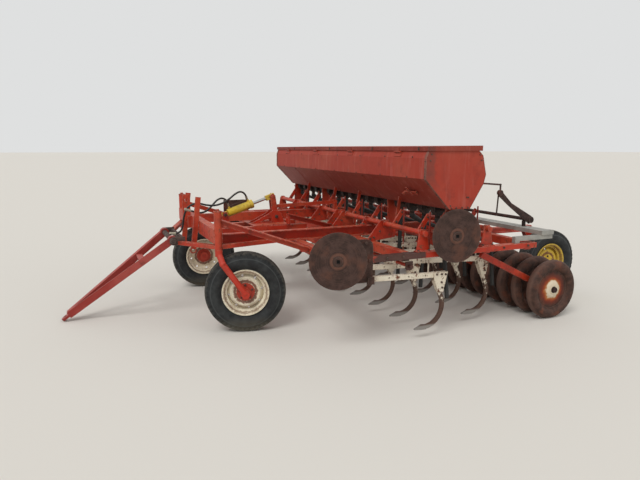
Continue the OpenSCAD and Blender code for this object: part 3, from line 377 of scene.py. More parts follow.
def frame_enamel(name, red):
    """The frame's enamel, dirtier than the hopper's: sooty blotches, pale patches on its upper faces that are
    partly rubbed by feet and chains and partly a painted highlight on the tops, pale edges that are partly
    wear and partly a painted edge highlight, and the stretch of the left side beam that has gone brown."""
    m = enamel(name, red, "#B95F3E", "#4C2A1B", top_fade_and_light=0.6, spots=0.565, edge=0.75, pale_edge_wear_and_light=0.75)
    soot = m.add("TexNoise", m.blotches(150, 7, 0.68))
    m.tint(m.add("MapRange SMOOTHSTEP", [soot, 0.48, 0.66, 0.0, 0.55]), "#6A2417")
    # Pale patches on upward faces: partly rubbed by feet and chains, partly a painted highlight on the tops
    top_patch_noise = m.add("TexNoise", m.blotches(45, 7, 0.72))
    rubbed_and_lit_tops = m.add("MapRange SMOOTHSTEP", [top_patch_noise, 0.53, 0.62, 0.0, 0.55])
    m.tint(m.add("Math MULTIPLY", [m.facing_up(0.6, 0.95), rubbed_and_lit_tops]), "#C08A78")
    ahead, side, height = m.add("SeparateXYZ", [m.where], None).outputs
    stretch = m.between(m.ragged(ahead, 60, 0.2), (MIDDLE + 0.22, MIDDLE + 0.26),
                        (MIDDLE + 0.68, MIDDLE + 0.74), 0.95)
    left = m.add("MapRange SMOOTHSTEP", [side, 1.69, 1.70])
    # Only as high as the beam, so that the stand on it stays red
    low = m.add("MapRange SMOOTHSTEP", [height, 0.768, 0.772, 1.0, 0.0])
    beam = m.add("Math MULTIPLY", [m.add("Math MULTIPLY", [stretch, left]), low])
    skin = m.add("TexNoise", m.blotches(28))
    m.tint(beam, m.add("Mix RGBA", {SHARE: skin, UNDER: "#2C1E1B", OVER: "#513A32"}, MIXED))
    return m


def hopper_enamel(name, paint):
    """Enamel on rolled sheet, faded to a matt brick red in upright streaks, with a weathered front edge at
    the hopper's ends and a shallow buckle to the panels."""
    m = enamel(name, paint, "#A9503A", "#5A3A33", fade=0.45, top_fade_and_light=0.85, spots=0.70, edge=0.5, rough=0.62,
               blotch=650)
    for drawn_out, mm, detail, depth, low, high, most, code in (
            (0.14, 60, 5, 0.6, 0.5, 0.72, 0.3, "#B2675A"), (0.3, 110, 6, 0.65, 0.56, 0.74, 0.35, "#6B2A20")):
        upright = m.add("Mapping", {"Vector": m.where, "Scale": (1.0, 1.0, drawn_out)})
        streaks = m.add("TexNoise", m.blotches(mm, detail, depth, upright))
        m.tint(m.add("MapRange SMOOTHSTEP", [streaks, low, high, 0.0, most]), code)
    ahead, side, height = m.add("SeparateXYZ", [m.where], None).outputs
    below = m.add("Math MAXIMUM", [m.add("Math SUBTRACT", [SECTION[1][1], height]), 0.0])
    # The front panel slants back below its upper corner, at nearly 45 degrees
    inset = m.ragged(m.add("Math MULTIPLY_ADD", [below, 0.95, ahead]), 70, 0.09)
    front = m.add("MapRange SMOOTHSTEP", [inset, MIDDLE + 0.195, MIDDLE + 0.225])
    outwards = m.add("Math ABSOLUTE", [side])
    ends = m.add("MapRange SMOOTHSTEP", [outwards, HALF_HOPPER - 0.006, HALF_HOPPER - 0.004])
    upper = m.add("MapRange SMOOTHSTEP", [height, 1.25, 1.40, 0.0, 0.5])
    m.tint(m.add("Math MULTIPLY", [m.add("Math MULTIPLY", [front, ends]), upper]), "#5E382E")
    m.relief(m.add("TexNoise", m.blotches(480, 1)), 9, 0.25)
    return m


def weathered_sheet(name, code):
    """Galvanised sheet dulled to grey, with brown runs where water stands on it."""
    m = enamel(name, code, "#B9B5AB", "#6A5242", fade=0.5, top_fade_and_light=0.35, spots=0.66, edge=0.3, blotch=200)
    m.feed(m.shader, {"Metallic": 0.15})
    return m


def chromed_rod(name):
    """The lift cylinder's rod: hard chrome, smooth and bright, with its clevis in yellow enamel."""
    m = enamel(name, "#C9A92C", "#D6C067", "#4A3526", fade=0.3, top_fade_and_light=0.2, spots=0.52, edge=0.9)
    from_eye = m.add("VectorMath DISTANCE", [m.where, ROD_EYE], "Value")
    rod = m.add("MapRange SMOOTHSTEP", [from_eye, 0.079, 0.081])
    m.tint(rod, "#BDBDBA")
    m.feed(m.shader, {"Metallic": rod, "Roughness": m.add("MapRange", [rod, 0.0, 1.0, 0.5, 0.22])})
    return m


# Shapes

def mesh_object(name, verts, faces, material, body, smooth=False):
    """A finished piece: its mesh, its finish and the body that it moves with, or None where it bends between
    two."""
    data = bpy.data.meshes.new(name)
    data.from_pydata([tuple(v) for v in verts], [], faces)
    shape = bmesh.new()
    shape.from_mesh(data)
    bmesh.ops.recalc_face_normals(shape, faces=shape.faces)
    shape.to_mesh(data)
    shape.free()
    piece = bpy.data.objects.new(name, data)
    bpy.context.scene.collection.objects.link(piece)
    data.materials.append(material)
    if smooth:
        data.polygons.foreach_set("use_smooth", [True] * len(data.polygons))
    if body:
        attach(piece, body)
    return piece


def soften(piece, width):
    """Rounds the piece's edges as a pressed or cast one's are."""
    bevel = piece.modifiers.new("edges", "BEVEL")
    bevel.width = width
    bevel.segments = 2
    bevel.limit_method = "ANGLE"
    bevel.angle_limit = math.radians(35)
    bevel.harden_normals = False


def curve_through(points, steps):
    """Points along the smooth curve through a route's points, as the source sweeps its hoses."""
    last = len(points) - 1
    path = []
    for i in range(last):
        a, b, c, d = points[max(i - 1, 0)], points[i], points[i + 1], points[min(i + 2, last)]
        for j in range(steps):
            t = j / steps
            path.append(0.5 * (2 * b + (c - a) * t + (2 * a - 5 * b + 4 * c - d) * t * t
                               + (3 * b - a - 3 * c + d) * t ** 3))
    return path + [points[-1]]


def swept(path, radii, sides):
    """Verts and faces of a round tube along path; radii has one radius for each of its points."""
    verts, faces = [], []
    last = len(path) - 1
    side = None
    for i, radius in enumerate(radii):
        way = (path[min(i + 1, last)] - path[max(i - 1, 0)]).normalized()
        if side is None:
            side = way.cross(Vector((0.31, 0.2, 0.93))).normalized()
        side = (side - way * side.dot(way)).normalized()
        other = way.cross(side)
        for k in range(sides):
            a = 2 * math.pi * k / sides
            verts.append(path[i] + radius * (side * math.cos(a) + other * math.sin(a)))
    for i in range(last):
        near, far = i * sides, (i + 1) * sides
        for k in range(sides):
            after = (k + 1) % sides
            faces.append((near + k, near + after, far + after, far + k))
    faces.append(tuple(range(sides - 1, -1, -1)))
    faces.append(tuple(last * sides + k for k in range(sides)))
    return verts, faces


class Heap:
    """Many small forms gathered into one mesh."""

    def __init__(self):
        self.verts, self.faces = [], []

    def put(self, verts, faces):
        start = len(self.verts)
        self.verts += [Vector(v) for v in verts]
        self.faces += [tuple(start + i for i in f) for f in faces]

    def prism(self, outline, low, high, turn):
        """An outline in the local X and Y, from low to high along local Z, placed by turn."""
        n = len(outline)
        verts = [turn @ Vector((x, y, z)) for z in (low, high) for x, y in outline]
        faces = [(i, (i + 1) % n, n + (i + 1) % n, n + i) for i in range(n)]
        faces += [tuple(range(n - 1, -1, -1)), tuple(range(n, 2 * n))]
        self.put(verts, faces)

    def block(self, low, high, turn=Matrix.Identity(4)):
        """A box between two corners, placed by turn."""
        (a, b, c), (d, e, f) = low, high
        self.prism([(a, b), (d, b), (d, e), (a, e)], c, f, turn)

    def bolt(self, point, out, size):
        """A hex head on its washer; size is the width over the flats."""
        turn = Matrix.Translation(point) @ Vector(out).to_track_quat("Z", "Y").to_matrix().to_4x4()
        for sides, radius, low, high in ((14, 0.62, -0.0005, 0.12 * size),
                                         (6, 1 / math.sqrt(3), 0.1 * size, 0.62 * size)):
            angles = [2 * math.pi * i / sides for i in range(sides)]
            outline = [(radius * size * math.cos(a), radius * size * math.sin(a)) for a in angles]
            self.prism(outline, low, high, turn)

    def rod(self, a, b, radius, sides):
        self.put(*swept([Vector(a), Vector(b)], [radius, radius], sides))

    def finish(self, name, material, body, smooth=False):
        return mesh_object(name, self.verts, self.faces, material, body, smooth)


def coat(surface, *nodes):
    """Gives CAD nodes their finish."""
    for name in nodes:
        data = frame["nodes"][name].data
        if not data.materials:
            data.materials.append(surface.material)
        for i in range(len(data.materials)):
            data.materials[i] = surface.material


# What a user would change

class DrillFinish(bpy.types.PropertyGroup):
    frame_red: bpy.props.FloatVectorProperty(
        name="Frame red", description="Enamel of the frame, new", subtype="COLOR", size=3, min=0, max=1,
        default=linear("#B02C12")[:3])
    bolt_size: bpy.props.FloatProperty(
        name="Bolt size", description="Width over the flats of a bolt's head", default=0.019, min=0.010,
        max=0.030, subtype="DISTANCE", unit="LENGTH")
    tube_ribs: bpy.props.FloatProperty(
        name="Rib pitch", description="Distance between the ribs of a seed tube", default=0.0125, min=0.008,
        max=0.030, subtype="DISTANCE", unit="LENGTH")
    tread_blocks: bpy.props.IntProperty(
        name="Tread blocks", description="Shoulder blocks on each side of a tyre", default=48, min=24, max=60)
    hose_diameter: bpy.props.FloatProperty(
        name="Hose diameter", description="Outer diameter of the hydraulic hoses", default=0.019, min=0.012,
        max=0.025, subtype="DISTANCE", unit="LENGTH")


class DrillView(bpy.types.PropertyGroup):
    lens: bpy.props.FloatProperty(
        name="Lens", description="Focal length on a 36 mm wide sensor", default=30.09, min=20, max=80)
    floor_size: bpy.props.FloatProperty(
        name="Floor size", description="Width of the pale floor", default=400.0, min=20, max=400,
        subtype="DISTANCE", unit="LENGTH")
    key_light: bpy.props.FloatProperty(
        name="Key light", description="Strength of the large soft light", default=1.4, min=0, max=10)
    sky: bpy.props.FloatProperty(
        name="Room light", description="Strength of the light from all round", default=0.62, min=0, max=2)


# Stage

# The photograph's camera, from the hopper's edges, the wheels and the horizon
CAMERA_PLACE = at(2.7757, 5.4282, 1.6209)
CAMERA_RIGHT = Vector((-0.91737, 0.39804, 0.00081)).normalized()
CAMERA_AHEAD = Vector((-0.39238, -0.90399, -0.16981)).normalized()
KEY_PLACE, KEY_ANGLE = Vector((5.0, 4.2, 7.5)), 28.0
FILL_PLACE, FILL_ANGLE, FILL_SHARE = Vector((-6.0, 4.0, 5.0)), 60.0, 0.3


class DRILL_OT_stage(bpy.types.Operator):
    """Camera at the photographed view, a plain pale floor and soft light"""
    bl_idname = "drill.stage"
    bl_label = "Stage"

    def execute(self, context):
        view = context.scene.drill_view
        scene = context.scene
        scene.view_settings.view_transform = "Standard"
        camera_data = bpy.data.cameras.new("view")
        camera_data.sensor_width = 36.0
        camera_data.lens = view.lens
        camera_data.clip_end = 500.0
        camera = bpy.data.objects.new("view", camera_data)
        scene.collection.objects.link(camera)
        up = CAMERA_RIGHT.cross(CAMERA_AHEAD)
        turn = Matrix((CAMERA_RIGHT, up, -CAMERA_AHEAD)).transposed().to_4x4()
        camera.matrix_world = Matrix.Translation(CAMERA_PLACE) @ turn
        scene.camera = camera

        # Matt paint, pale enough that the machine's shadow shows on it
        pale = Surface("pale_floor_paint")
        pale.feed(pale.shader, {"Base Color": "#D8D4CC", "Roughness": 0.9, "Specular IOR Level": 0.1})
        half = view.floor_size / 2
        data = bpy.data.meshes.new("floor")
        data.from_pydata([(-half, -half, 0), (half, -half, 0), (half, half, 0), (-half, half, 0)], [],
                         [(0, 1, 2, 3)])
        floor = bpy.data.objects.new("floor", data)
        scene.collection.objects.link(floor)
        data.materials.append(pale.material)

        world = bpy.data.worlds.new("room")
        scene.world = world
        room = Nodes(world)
        path = room.add("LightPath", out=None)
        seen = room.add("Math MAXIMUM", [path.outputs["Is Camera Ray"], path.outputs["Is Glossy Ray"]])
        plain = room.add("Background", {"Color": "#FFFFFF", "Strength": view.sky})
        shown = room.add("Background", {"Color": "#DFE0E0", "Strength": 1.0})
        room.add("OutputWorld", {"Surface": room.add("MixShader", [seen, plain, shown])}, None)

        for name, place, angle, power in (("key", KEY_PLACE, KEY_ANGLE, view.key_light),
                                          ("fill", FILL_PLACE, FILL_ANGLE, view.key_light * FILL_SHARE)):
            lamp_data = bpy.data.lights.new(name, "SUN")
            lamp_data.angle = math.radians(angle)
            lamp_data.energy = power
            lamp = bpy.data.objects.new(name, lamp_data)
            scene.collection.objects.link(lamp)
            turn = place.to_track_quat("Z", "Y").to_matrix().to_4x4()
            lamp.matrix_world = Matrix.Translation(place) @ turn
        return {"FINISHED"}


# Hoses

# Routes in millimetres ahead of the hopper's middle, to the side and above the ground
HOSE_ROUTES = {
    "hose_low": [(1446.5, 0, 1023.7), (1459, 3, 1062), (1488, 16, 1098), (1535, 46, 1114), (1592, 92, 1098),
                 (1650, 140, 1055), (1712, 192, 1014), (1780, 240, 1000), (1840, 251, 1012),
                 (1930, 246, 1040)],
    "hose_high": [(1253.2, 0, 1088.9), (1266, 4, 1128), (1294, 18, 1160), (1340, 46, 1174), (1400, 84, 1156),
                  (1470, 126, 1114), (1550, 168, 1078), (1640, 206, 1062), (1725, 232, 1072),
                  (1800, 240, 1090), (1865, 226, 1080), (1915, 198, 1028), (1936, 168, 950),
                  (1944, 142, 872), (1962, 120, 816), (2004, 102, 792), (2060, 88, 791)],
}


class DRILL_OT_hoses(bpy.types.Operator):
    """The two hydraulic hoses of the lift cylinder, with their crimped ends and couplers"""
    bl_idname = "drill.hoses"
    bl_label = "Hydraulic hoses"

    def execute(self, context):
        size = context.scene.drill_finish.hose_diameter
        rubber = black_rubber("black_rubber_hose", "#141414", 0.5).material
        plated = plated_steel("zinc_plated_steel_fitting", "#A9A28F", 0.42).material
        for name, route in HOSE_ROUTES.items():
            points = [at(x / 1000, y / 1000, z / 1000) for x, y, z in route]
            path = curve_through(points, 12)
            verts, faces = swept(path, [size / 2] * len(path), 16)
            hose = mesh_object(name, verts, faces, rubber, None, True)
            start, end = path[0], path[-1]
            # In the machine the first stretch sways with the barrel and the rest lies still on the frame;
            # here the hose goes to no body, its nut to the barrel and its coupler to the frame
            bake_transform(hose)
            way = (path[1] - start).normalized()
            out = (end - path[-2]).normalized()
            port = Heap()
            port.rod(start + way * 0.002, start + way * 0.034, size * 0.62, 16)
            nut = port.finish(name + "_port_nut", plated, "barrel")
            coupler = Heap()
            coupler.rod(end - out * 0.055, end - out * 0.012, size * 0.64, 16)
            coupler.rod(end - out * 0.014, end + out * 0.010, size * 0.78, 6)
            tip = coupler.finish(name + "_coupler", plated, "frame")
            soften(nut, 0.0012)
            soften(tip, 0.0012)
            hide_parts("hydraulic_hoses")
        return {"FINISHED"}


# Finishes of the machine's own pieces

class DRILL_OT_finishes(bpy.types.Operator):
    """Enamel, rust, rubber and steel on the machine's own pieces"""
    bl_idname = "drill.finishes"
    bl_label = "Finishes"

    def execute(self, context):
        red = tuple(context.scene.drill_finish.frame_red) + (1.0,)
        coat(frame_enamel("tractor_red_enamel_on_steel", red), "main_frame", "long_beams", "front_beam",
             "frame_braces", "hitch_mast", "shaft_stands", "lift_tower", "opener_hangers", "hopper_stands",
             "press_arms", "rear_carrier", "rocker", "lift_link", "rock_shaft_front", "rock_shaft_rear",
             "tie_link")
        coat(enamel("worn_red_enamel_tongue", "#8E2A22", "#B85F55", "#4A2E25", fade=0.4, top_fade_and_light=0.7,
                    spots=0.62), "tongue")
        coat(enamel("bright_red_enamel_casting", "#B22E1A", "#CC6A55", "#54352A", fade=0.2, top_fade_and_light=0.4,
                    spots=0.64, edge=0.7), "caster_left", "caster_right")
        coat(hopper_enamel("faded_red_enamel_sheet", "#9C2E19"), "hopper_shell", "hopper_end_left",
             "hopper_end_right")
        # Painted shade: the lid takes the hopper's enamel in a darker red, as its lip stands in shade
        coat(hopper_enamel("shade_darkened_red_enamel_lid", "#7C2618"), "lid")
        coat(opener_enamel("chipped_white_enamel_opener"), "openers_front", "openers_rear")
        coat(rusted("rusted_plate_steel", "#35241F", "#503A32", "#5E3529"), "end_plates")
        coat(rusted("rusted_dark_tube", "#2A1F1C", "#463530", "#5A2E24"), "lift_linkage")
        coat(rusted("rusted_forged_hinge", "#3A2E2B", "#5E504A", "#6B3A30"), "hinge_bracket")
        coat(rusted("cast_iron_feed_cup", "#221C1A", "#3C3029", "#4E3428", 30, 0.6), "seed_cups")
        for end in ("front", "rear"):
            coat(turned_disc("rolled_steel_disc_" + end, end + "_disc_spin"), "disc_" + end)
        coat(press_steel("soil_rubbed_press_steel", "press_spin_left", ROWS["front"][0]),
             "press_gang_left", "press_gang_right")
        for side in ("left", "right"):
            front, back = "front_wheel_spin_" + side, "back_wheel_spin_" + side
            coat(rim_enamel("cream_enamel_rim_" + side, front, "#DDD3B8", "#EDE6D4", "#A83A28"),
                 "wheel_" + side)
            coat(tyre_rubber("sun_greyed_tyre_" + side, front), "tyre_" + side)
            coat(rim_enamel("yellow_enamel_rim_" + side, back, "#C9A93A", "#C9A93A"), "rear_wheel_" + side)
            coat(tyre_rubber("sun_greyed_back_tyre_" + side, back), "rear_tyre_" + side)
        coat(enamel("yellow_enamel_cylinder", "#D0B02A", "#DCC660", "#4A3526", fade=0.3, top_fade_and_light=0.3,
                    spots=0.58, edge=0.9), "cylinder_barrel")
        coat(chromed_rod("chromed_rod_yellow_clevis"), "cylinder_rod")
        coat(weathered_sheet("weathered_galvanised_board", "#8F8E88"), "footboard")
        return {"FINISHED"}


# Seed tubes

RIB_RADIUS, GROOVE_RADIUS = 0.0205, 0.0172
# The boot at a tube's upper end is wider than the tube and tapers off over its length
BOOT_EXTRA, BOOT_LENGTH = 0.009, 0.16
TUBE_ROUTES = {
    "front": [(-0.055, 1.0037), (-0.055, 0.984), (-0.053, 0.800), (-0.050, 0.690), (-0.038, 0.330)],
    "rear": [(-0.055, 1.0037), (-0.055, 0.984), (-0.150, 0.930), (-0.668, 0.745), (-0.715, 0.330)],
}
# The outermost tubes bend inwards to pass the side beams, which are 70 mm wide, by 55 mm
INSIDE = HALF_FRAME - 0.070 - 0.055


class DRILL_OT_seed_tubes(bpy.types.Operator):
    """Ribbed rubber seed tubes from the feed cups down to the shanks"""
    bl_idname = "drill.seed_tubes"
    bl_label = "Seed tubes"

    def execute(self, context):
        step = context.scene.drill_finish.tube_ribs / 2
        rubber = black_rubber("ribbed_rubber_seed_tube", "#1B1A19", 0.62).material
        for end, route in TUBE_ROUTES.items():
            heap = Heap()
            for row in ROWS[end]:
                passing = math.copysign(min(abs(row), INSIDE), row)
                sides = [row, row, passing, passing, row]
                points = [at(x, y, z) for (x, z), y in zip(route, sides)]
                path = []
                for a, b in zip(points, points[1:]):
                    steps = max(2, round((b - a).length / step))
                    path += [a.lerp(b, j / steps) for j in range(steps)]
                path.append(points[-1])
                radii = []
                for i, point in enumerate(path):
                    boot = BOOT_EXTRA * max(0.0, 1.0 - (path[0] - point).length / BOOT_LENGTH)
                    radii.append((RIB_RADIUS if i % 2 else GROOVE_RADIUS) + boot)
                heap.put(*swept(path, radii, 12))
            node = "seed_tubes_" + end
            piece = heap.finish("ribbed_" + node, rubber, "frame", True)
            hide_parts(node)
        return {"FINISHED"}


# Hopper

FRONT_SLANT, FRONT_PANEL, FRONT_RIM = 0, 1, 2
# Panels that the end flanges are folded over: all but the lid's and the bottom
FLANGED = (0, 1, 2, 4, 5, 6, 7)
SEAM_SIDES = (-1.13, -0.215, 0.715)
PANEL_BOLT_SIDES = (-1.5, -0.95, -0.42, 0.10, 0.62, 1.10, 1.55)
CATCH_SIDES = (-1.15, -0.05, 0.92, 1.70)
# Bolts of an end panel, ahead of the hopper's middle and above the ground
END_BOLTS = ((-0.135, 1.131), (-0.075, 1.131), (-0.015, 1.131), (0.035, 1.131), (-0.12, 1.215),
             (-0.135, 1.215), (0.045, 1.150), (0.255, 1.520), (0.245, 1.570), (-0.255, 1.520),
             (-0.235, 1.565))
STRIP_FACES = [(0, 1, 5, 4), (1, 2, 6, 5), (2, 3, 7, 6), (3, 0, 4, 7), (3, 2, 1, 0), (4, 5, 6, 7)]


def panel_point(i, share, out=0.0, y=0.0):
    """A point on the hopper's section between corner i and the next, moved outwards."""
    a, b = Vector(SECTION[i]), Vector(SECTION[(i + 1) % len(SECTION)])
    way = (b - a).normalized()
    p = a.lerp(b, share) + Vector((way.y, -way.x)) * out
    return at(p.x, y, p.y)


def panel_out(i):
    """The direction that a panel of the hopper faces."""
    way = (Vector(SECTION[(i + 1) % len(SECTION)]) - Vector(SECTION[i])).normalized()
    return Vector((way.y, 0, -way.x))


def put_strip(heap, i, shares, heights, sides):
    """A flat strip on panel i, between two shares of its width, two heights off it and two sides."""
    (near, far), (low, high) = shares, heights
    outline = [panel_point(i, near, low), panel_point(i, far, low), panel_point(i, far, high),
               panel_point(i, near, high)]
    heap.put([(p.x, y, p.z) for y in sides for p in outline], STRIP_FACES)


class DRILL_OT_hopper_trim(bpy.types.Operator):
    """Edge flanges, seams, catches, bolts and the rate lever of the hopper"""
    bl_idname = "drill.hopper_trim"
    bl_label = "Hopper trim"

    def execute(self, context):
        materials = bpy.data.materials
        rust, red = materials["rusted_plate_steel"], materials["tractor_red_enamel_on_steel"]
        flange = Heap()
        for side in (1, -1):
            for i in FLANGED:
                put_strip(flange, i, (0.0, 1.0), (0.0004, 0.0026),
                          (side * (HALF_HOPPER - 0.030), side * (HALF_HOPPER + 0.0012)))
        weathered = rusted("weathered_flange_enamel", "#6A4238", "#8A5A4E", "#93463A", 90, 0.7)
        flange.finish("hopper_edge_flanges", weathered.material, "frame")

        seam = Heap()
        for y in SEAM_SIDES:
            put_strip(seam, FRONT_SLANT, (0.02, 0.985), (0.0004, 0.0022), (y - 0.011, y + 0.011))
        seam.finish("hopper_seams", materials["faded_red_enamel_sheet"], "frame")

        bolts = Heap()
        slant_out, front_out, rim_out = panel_out(FRONT_SLANT), panel_out(FRONT_PANEL), panel_out(FRONT_RIM)
        for y in SEAM_SIDES:
            for share in (0.06, 0.93):
                bolts.bolt(panel_point(FRONT_SLANT, share, 0.0022, y), slant_out, 0.011)
        for y in PANEL_BOLT_SIDES:
            bolts.bolt(panel_point(FRONT_PANEL, 0.045, 0.0004, y), front_out, 0.010)
            bolts.bolt(panel_point(FRONT_RIM, 0.15, 0.0004, y + 0.07), rim_out, 0.010)
        for side in (1, -1):
            for x, z in END_BOLTS:
                bolts.bolt(at(x, side * (HALF_HOPPER + 0.0001), z), (0, side, 0), 0.010)
            for share in (0.12, 0.5, 0.86):
                for i, out in ((FRONT_PANEL, front_out), (FRONT_SLANT, slant_out)):
                    bolts.bolt(panel_point(i, share, 0.0026, side * (HALF_HOPPER - 0.015)), out, 0.009)
        bolts.finish("hopper_bolts", rust, "frame")

        # The rate lever on the front slant: its scale, pointer, two feet and grip
        lever = Heap()
        along = Vector((0, 1, 0))
        rise = along.cross(slant_out).normalized()
        turn = Matrix((along, rise, slant_out)).transposed().to_4x4()
        turn = Matrix.Translation(panel_point(FRONT_SLANT, 0.52, 0.0005, 1.47)) @ turn
        lever.prism([(-0.10, -0.012), (0.085, -0.020), (0.085, 0.014), (-0.10, 0.012)], 0.014, 0.026, turn)
        lever.block((-0.012, -0.075, 0.026), (0.014, 0.02, 0.034), turn)
        for x in (-0.085, 0.06):
            lever.block((x - 0.01, -0.01, 0.0), (x + 0.01, 0.01, 0.015), turn)
        lever.block((-0.115, -0.008, 0.012), (-0.095, 0.008, 0.05), turn)
        soften(lever.finish("rate_lever", red, "frame"), 0.002)

        catch = Heap()
        for y in CATCH_SIDES:
            low = at(0.2815, y - 0.010, 1.600)
            catch.block(low, low + Vector((0.004, 0.020, 0.026)))
        soften(catch.finish("lid_catches", rust, "hopper_lid"), 0.001)
        return {"FINISHED"}


# Tread

# A block's section across the tyre, with each point's distance from the tyre's middle and from its axle: it
# carries the crown on past its edge and dies out down the wall
TREAD_SECTION = [(0.052, 0.3525), (0.0670, 0.3490), (0.0705, 0.3220), (0.052, 0.3220)]
TREAD_RADIUS, TREAD_FILL = 0.340, 0.54


class DRILL_OT_tread(bpy.types.Operator):
    """Shoulder blocks of the four tyres, moulded of the same rubber"""
    bl_idname = "drill.tread"
    bl_label = "Tread blocks"

    def execute(self, context):
        count = context.scene.drill_finish.tread_blocks
        half = TREAD_FILL * math.pi * TREAD_RADIUS / count
        for end, prefix in (("front", "tyre_"), ("back", "rear_tyre_")):
            for side in ("left", "right"):
                joint = end + "_wheel_spin_" + side
                blocks = Heap()
                for k in range(count):
                    for w in (1, -1):
                        spin = Matrix.Rotation(2 * math.pi * (k + 0.25 * w) / count, 4, "Y")
                        # Local Z of the prism runs along the tread
                        stand = Matrix(((0, 0, 1, 0), (w, 0, 0, 0), (0, 1, 0, 0), (0, 0, 0, 1)))
                        blocks.prism(TREAD_SECTION, -half, half, axle_place(joint) @ spin @ stand)
                rubber = frame["nodes"][prefix + side].data.materials[0]
                blocks.finish("tread_blocks_" + end + "_" + side, rubber, end + "_wheel_" + side)
        return {"FINISHED"}


# Fastenings

# Feet of the shaft stands, by side and height, and bolts by distance ahead and height
STAND_FEET = ((HALF_FRAME - 0.035, 0.7763), (0.770, 0.8766), (-0.770, 0.8766),
              (-HALF_FRAME + 0.035, 0.7763))
BEAM_LEVEL = 0.745
END_PLATE_FACE, SHIELD_PLATE_FACE = 1.7853, 1.7874
END_PLATE_BOLTS = ((0.770, BEAM_LEVEL), (0.835, BEAM_LEVEL), (0.93, BEAM_LEVEL), (1.055, BEAM_LEVEL),
                   (0.985, 0.885), (0.80, 0.885))
SHIELD_PLATE_BOLTS = ((-0.062, 0.748), (0.022, 0.748), (-0.02, 0.81))
SIDE_BEAM_BOLTS = (-0.12, 0.03, -0.88, -0.60, 0.45, 0.60)
# The back beam's rear face, the side of the carriers on it, and the place of a caster post's cap
BACK_FACE, CARRIER_SIDE = -0.9975, 0.868
CAP_AHEAD, CAP_SIDE, CAP_HEIGHT, CAP_CIRCLE = 1.774, 0.927, 1.0909, 0.021
SHAFT_END = 1.76
HANGER_SIDES = (1.117, 0.305, 0.150, -0.305, -1.117)
HANGER_BOLTS = ((0.362, 0.80), (0.40, 0.79), (0.30, 0.855))
BEARINGS = {"front": (1.74, 1.117, 0.770, 0.305, 0.150, -0.305, -0.770, -1.117, -1.74),
            "rear": (1.74, 0.770, 0.0, -0.770, -1.74)}
# Where a drag bar meets its bracket, in each rank, and the bolts' distances from there
BRACKETS = {"front": (-0.010, 0.548), "rear": (-0.640, 0.600)}
BRACKET_BOLTS = ((0.012, 0.004), (0.052, 0.008), (0.102, 0.010), (0.052, -0.062), (0.044, -0.110))
LEVER_TILT = math.radians(35)
HUB_FACE, NUT_CIRCLE, VALVE_ANGLE = 0.031, 0.062, 2.1
# Places along the barrel and off it that the pressure pipe goes through
PIPE_ROUTE = ((0.085, 0.050), (0.10, 0.060), (0.25, 0.062), (0.262, 0.052))


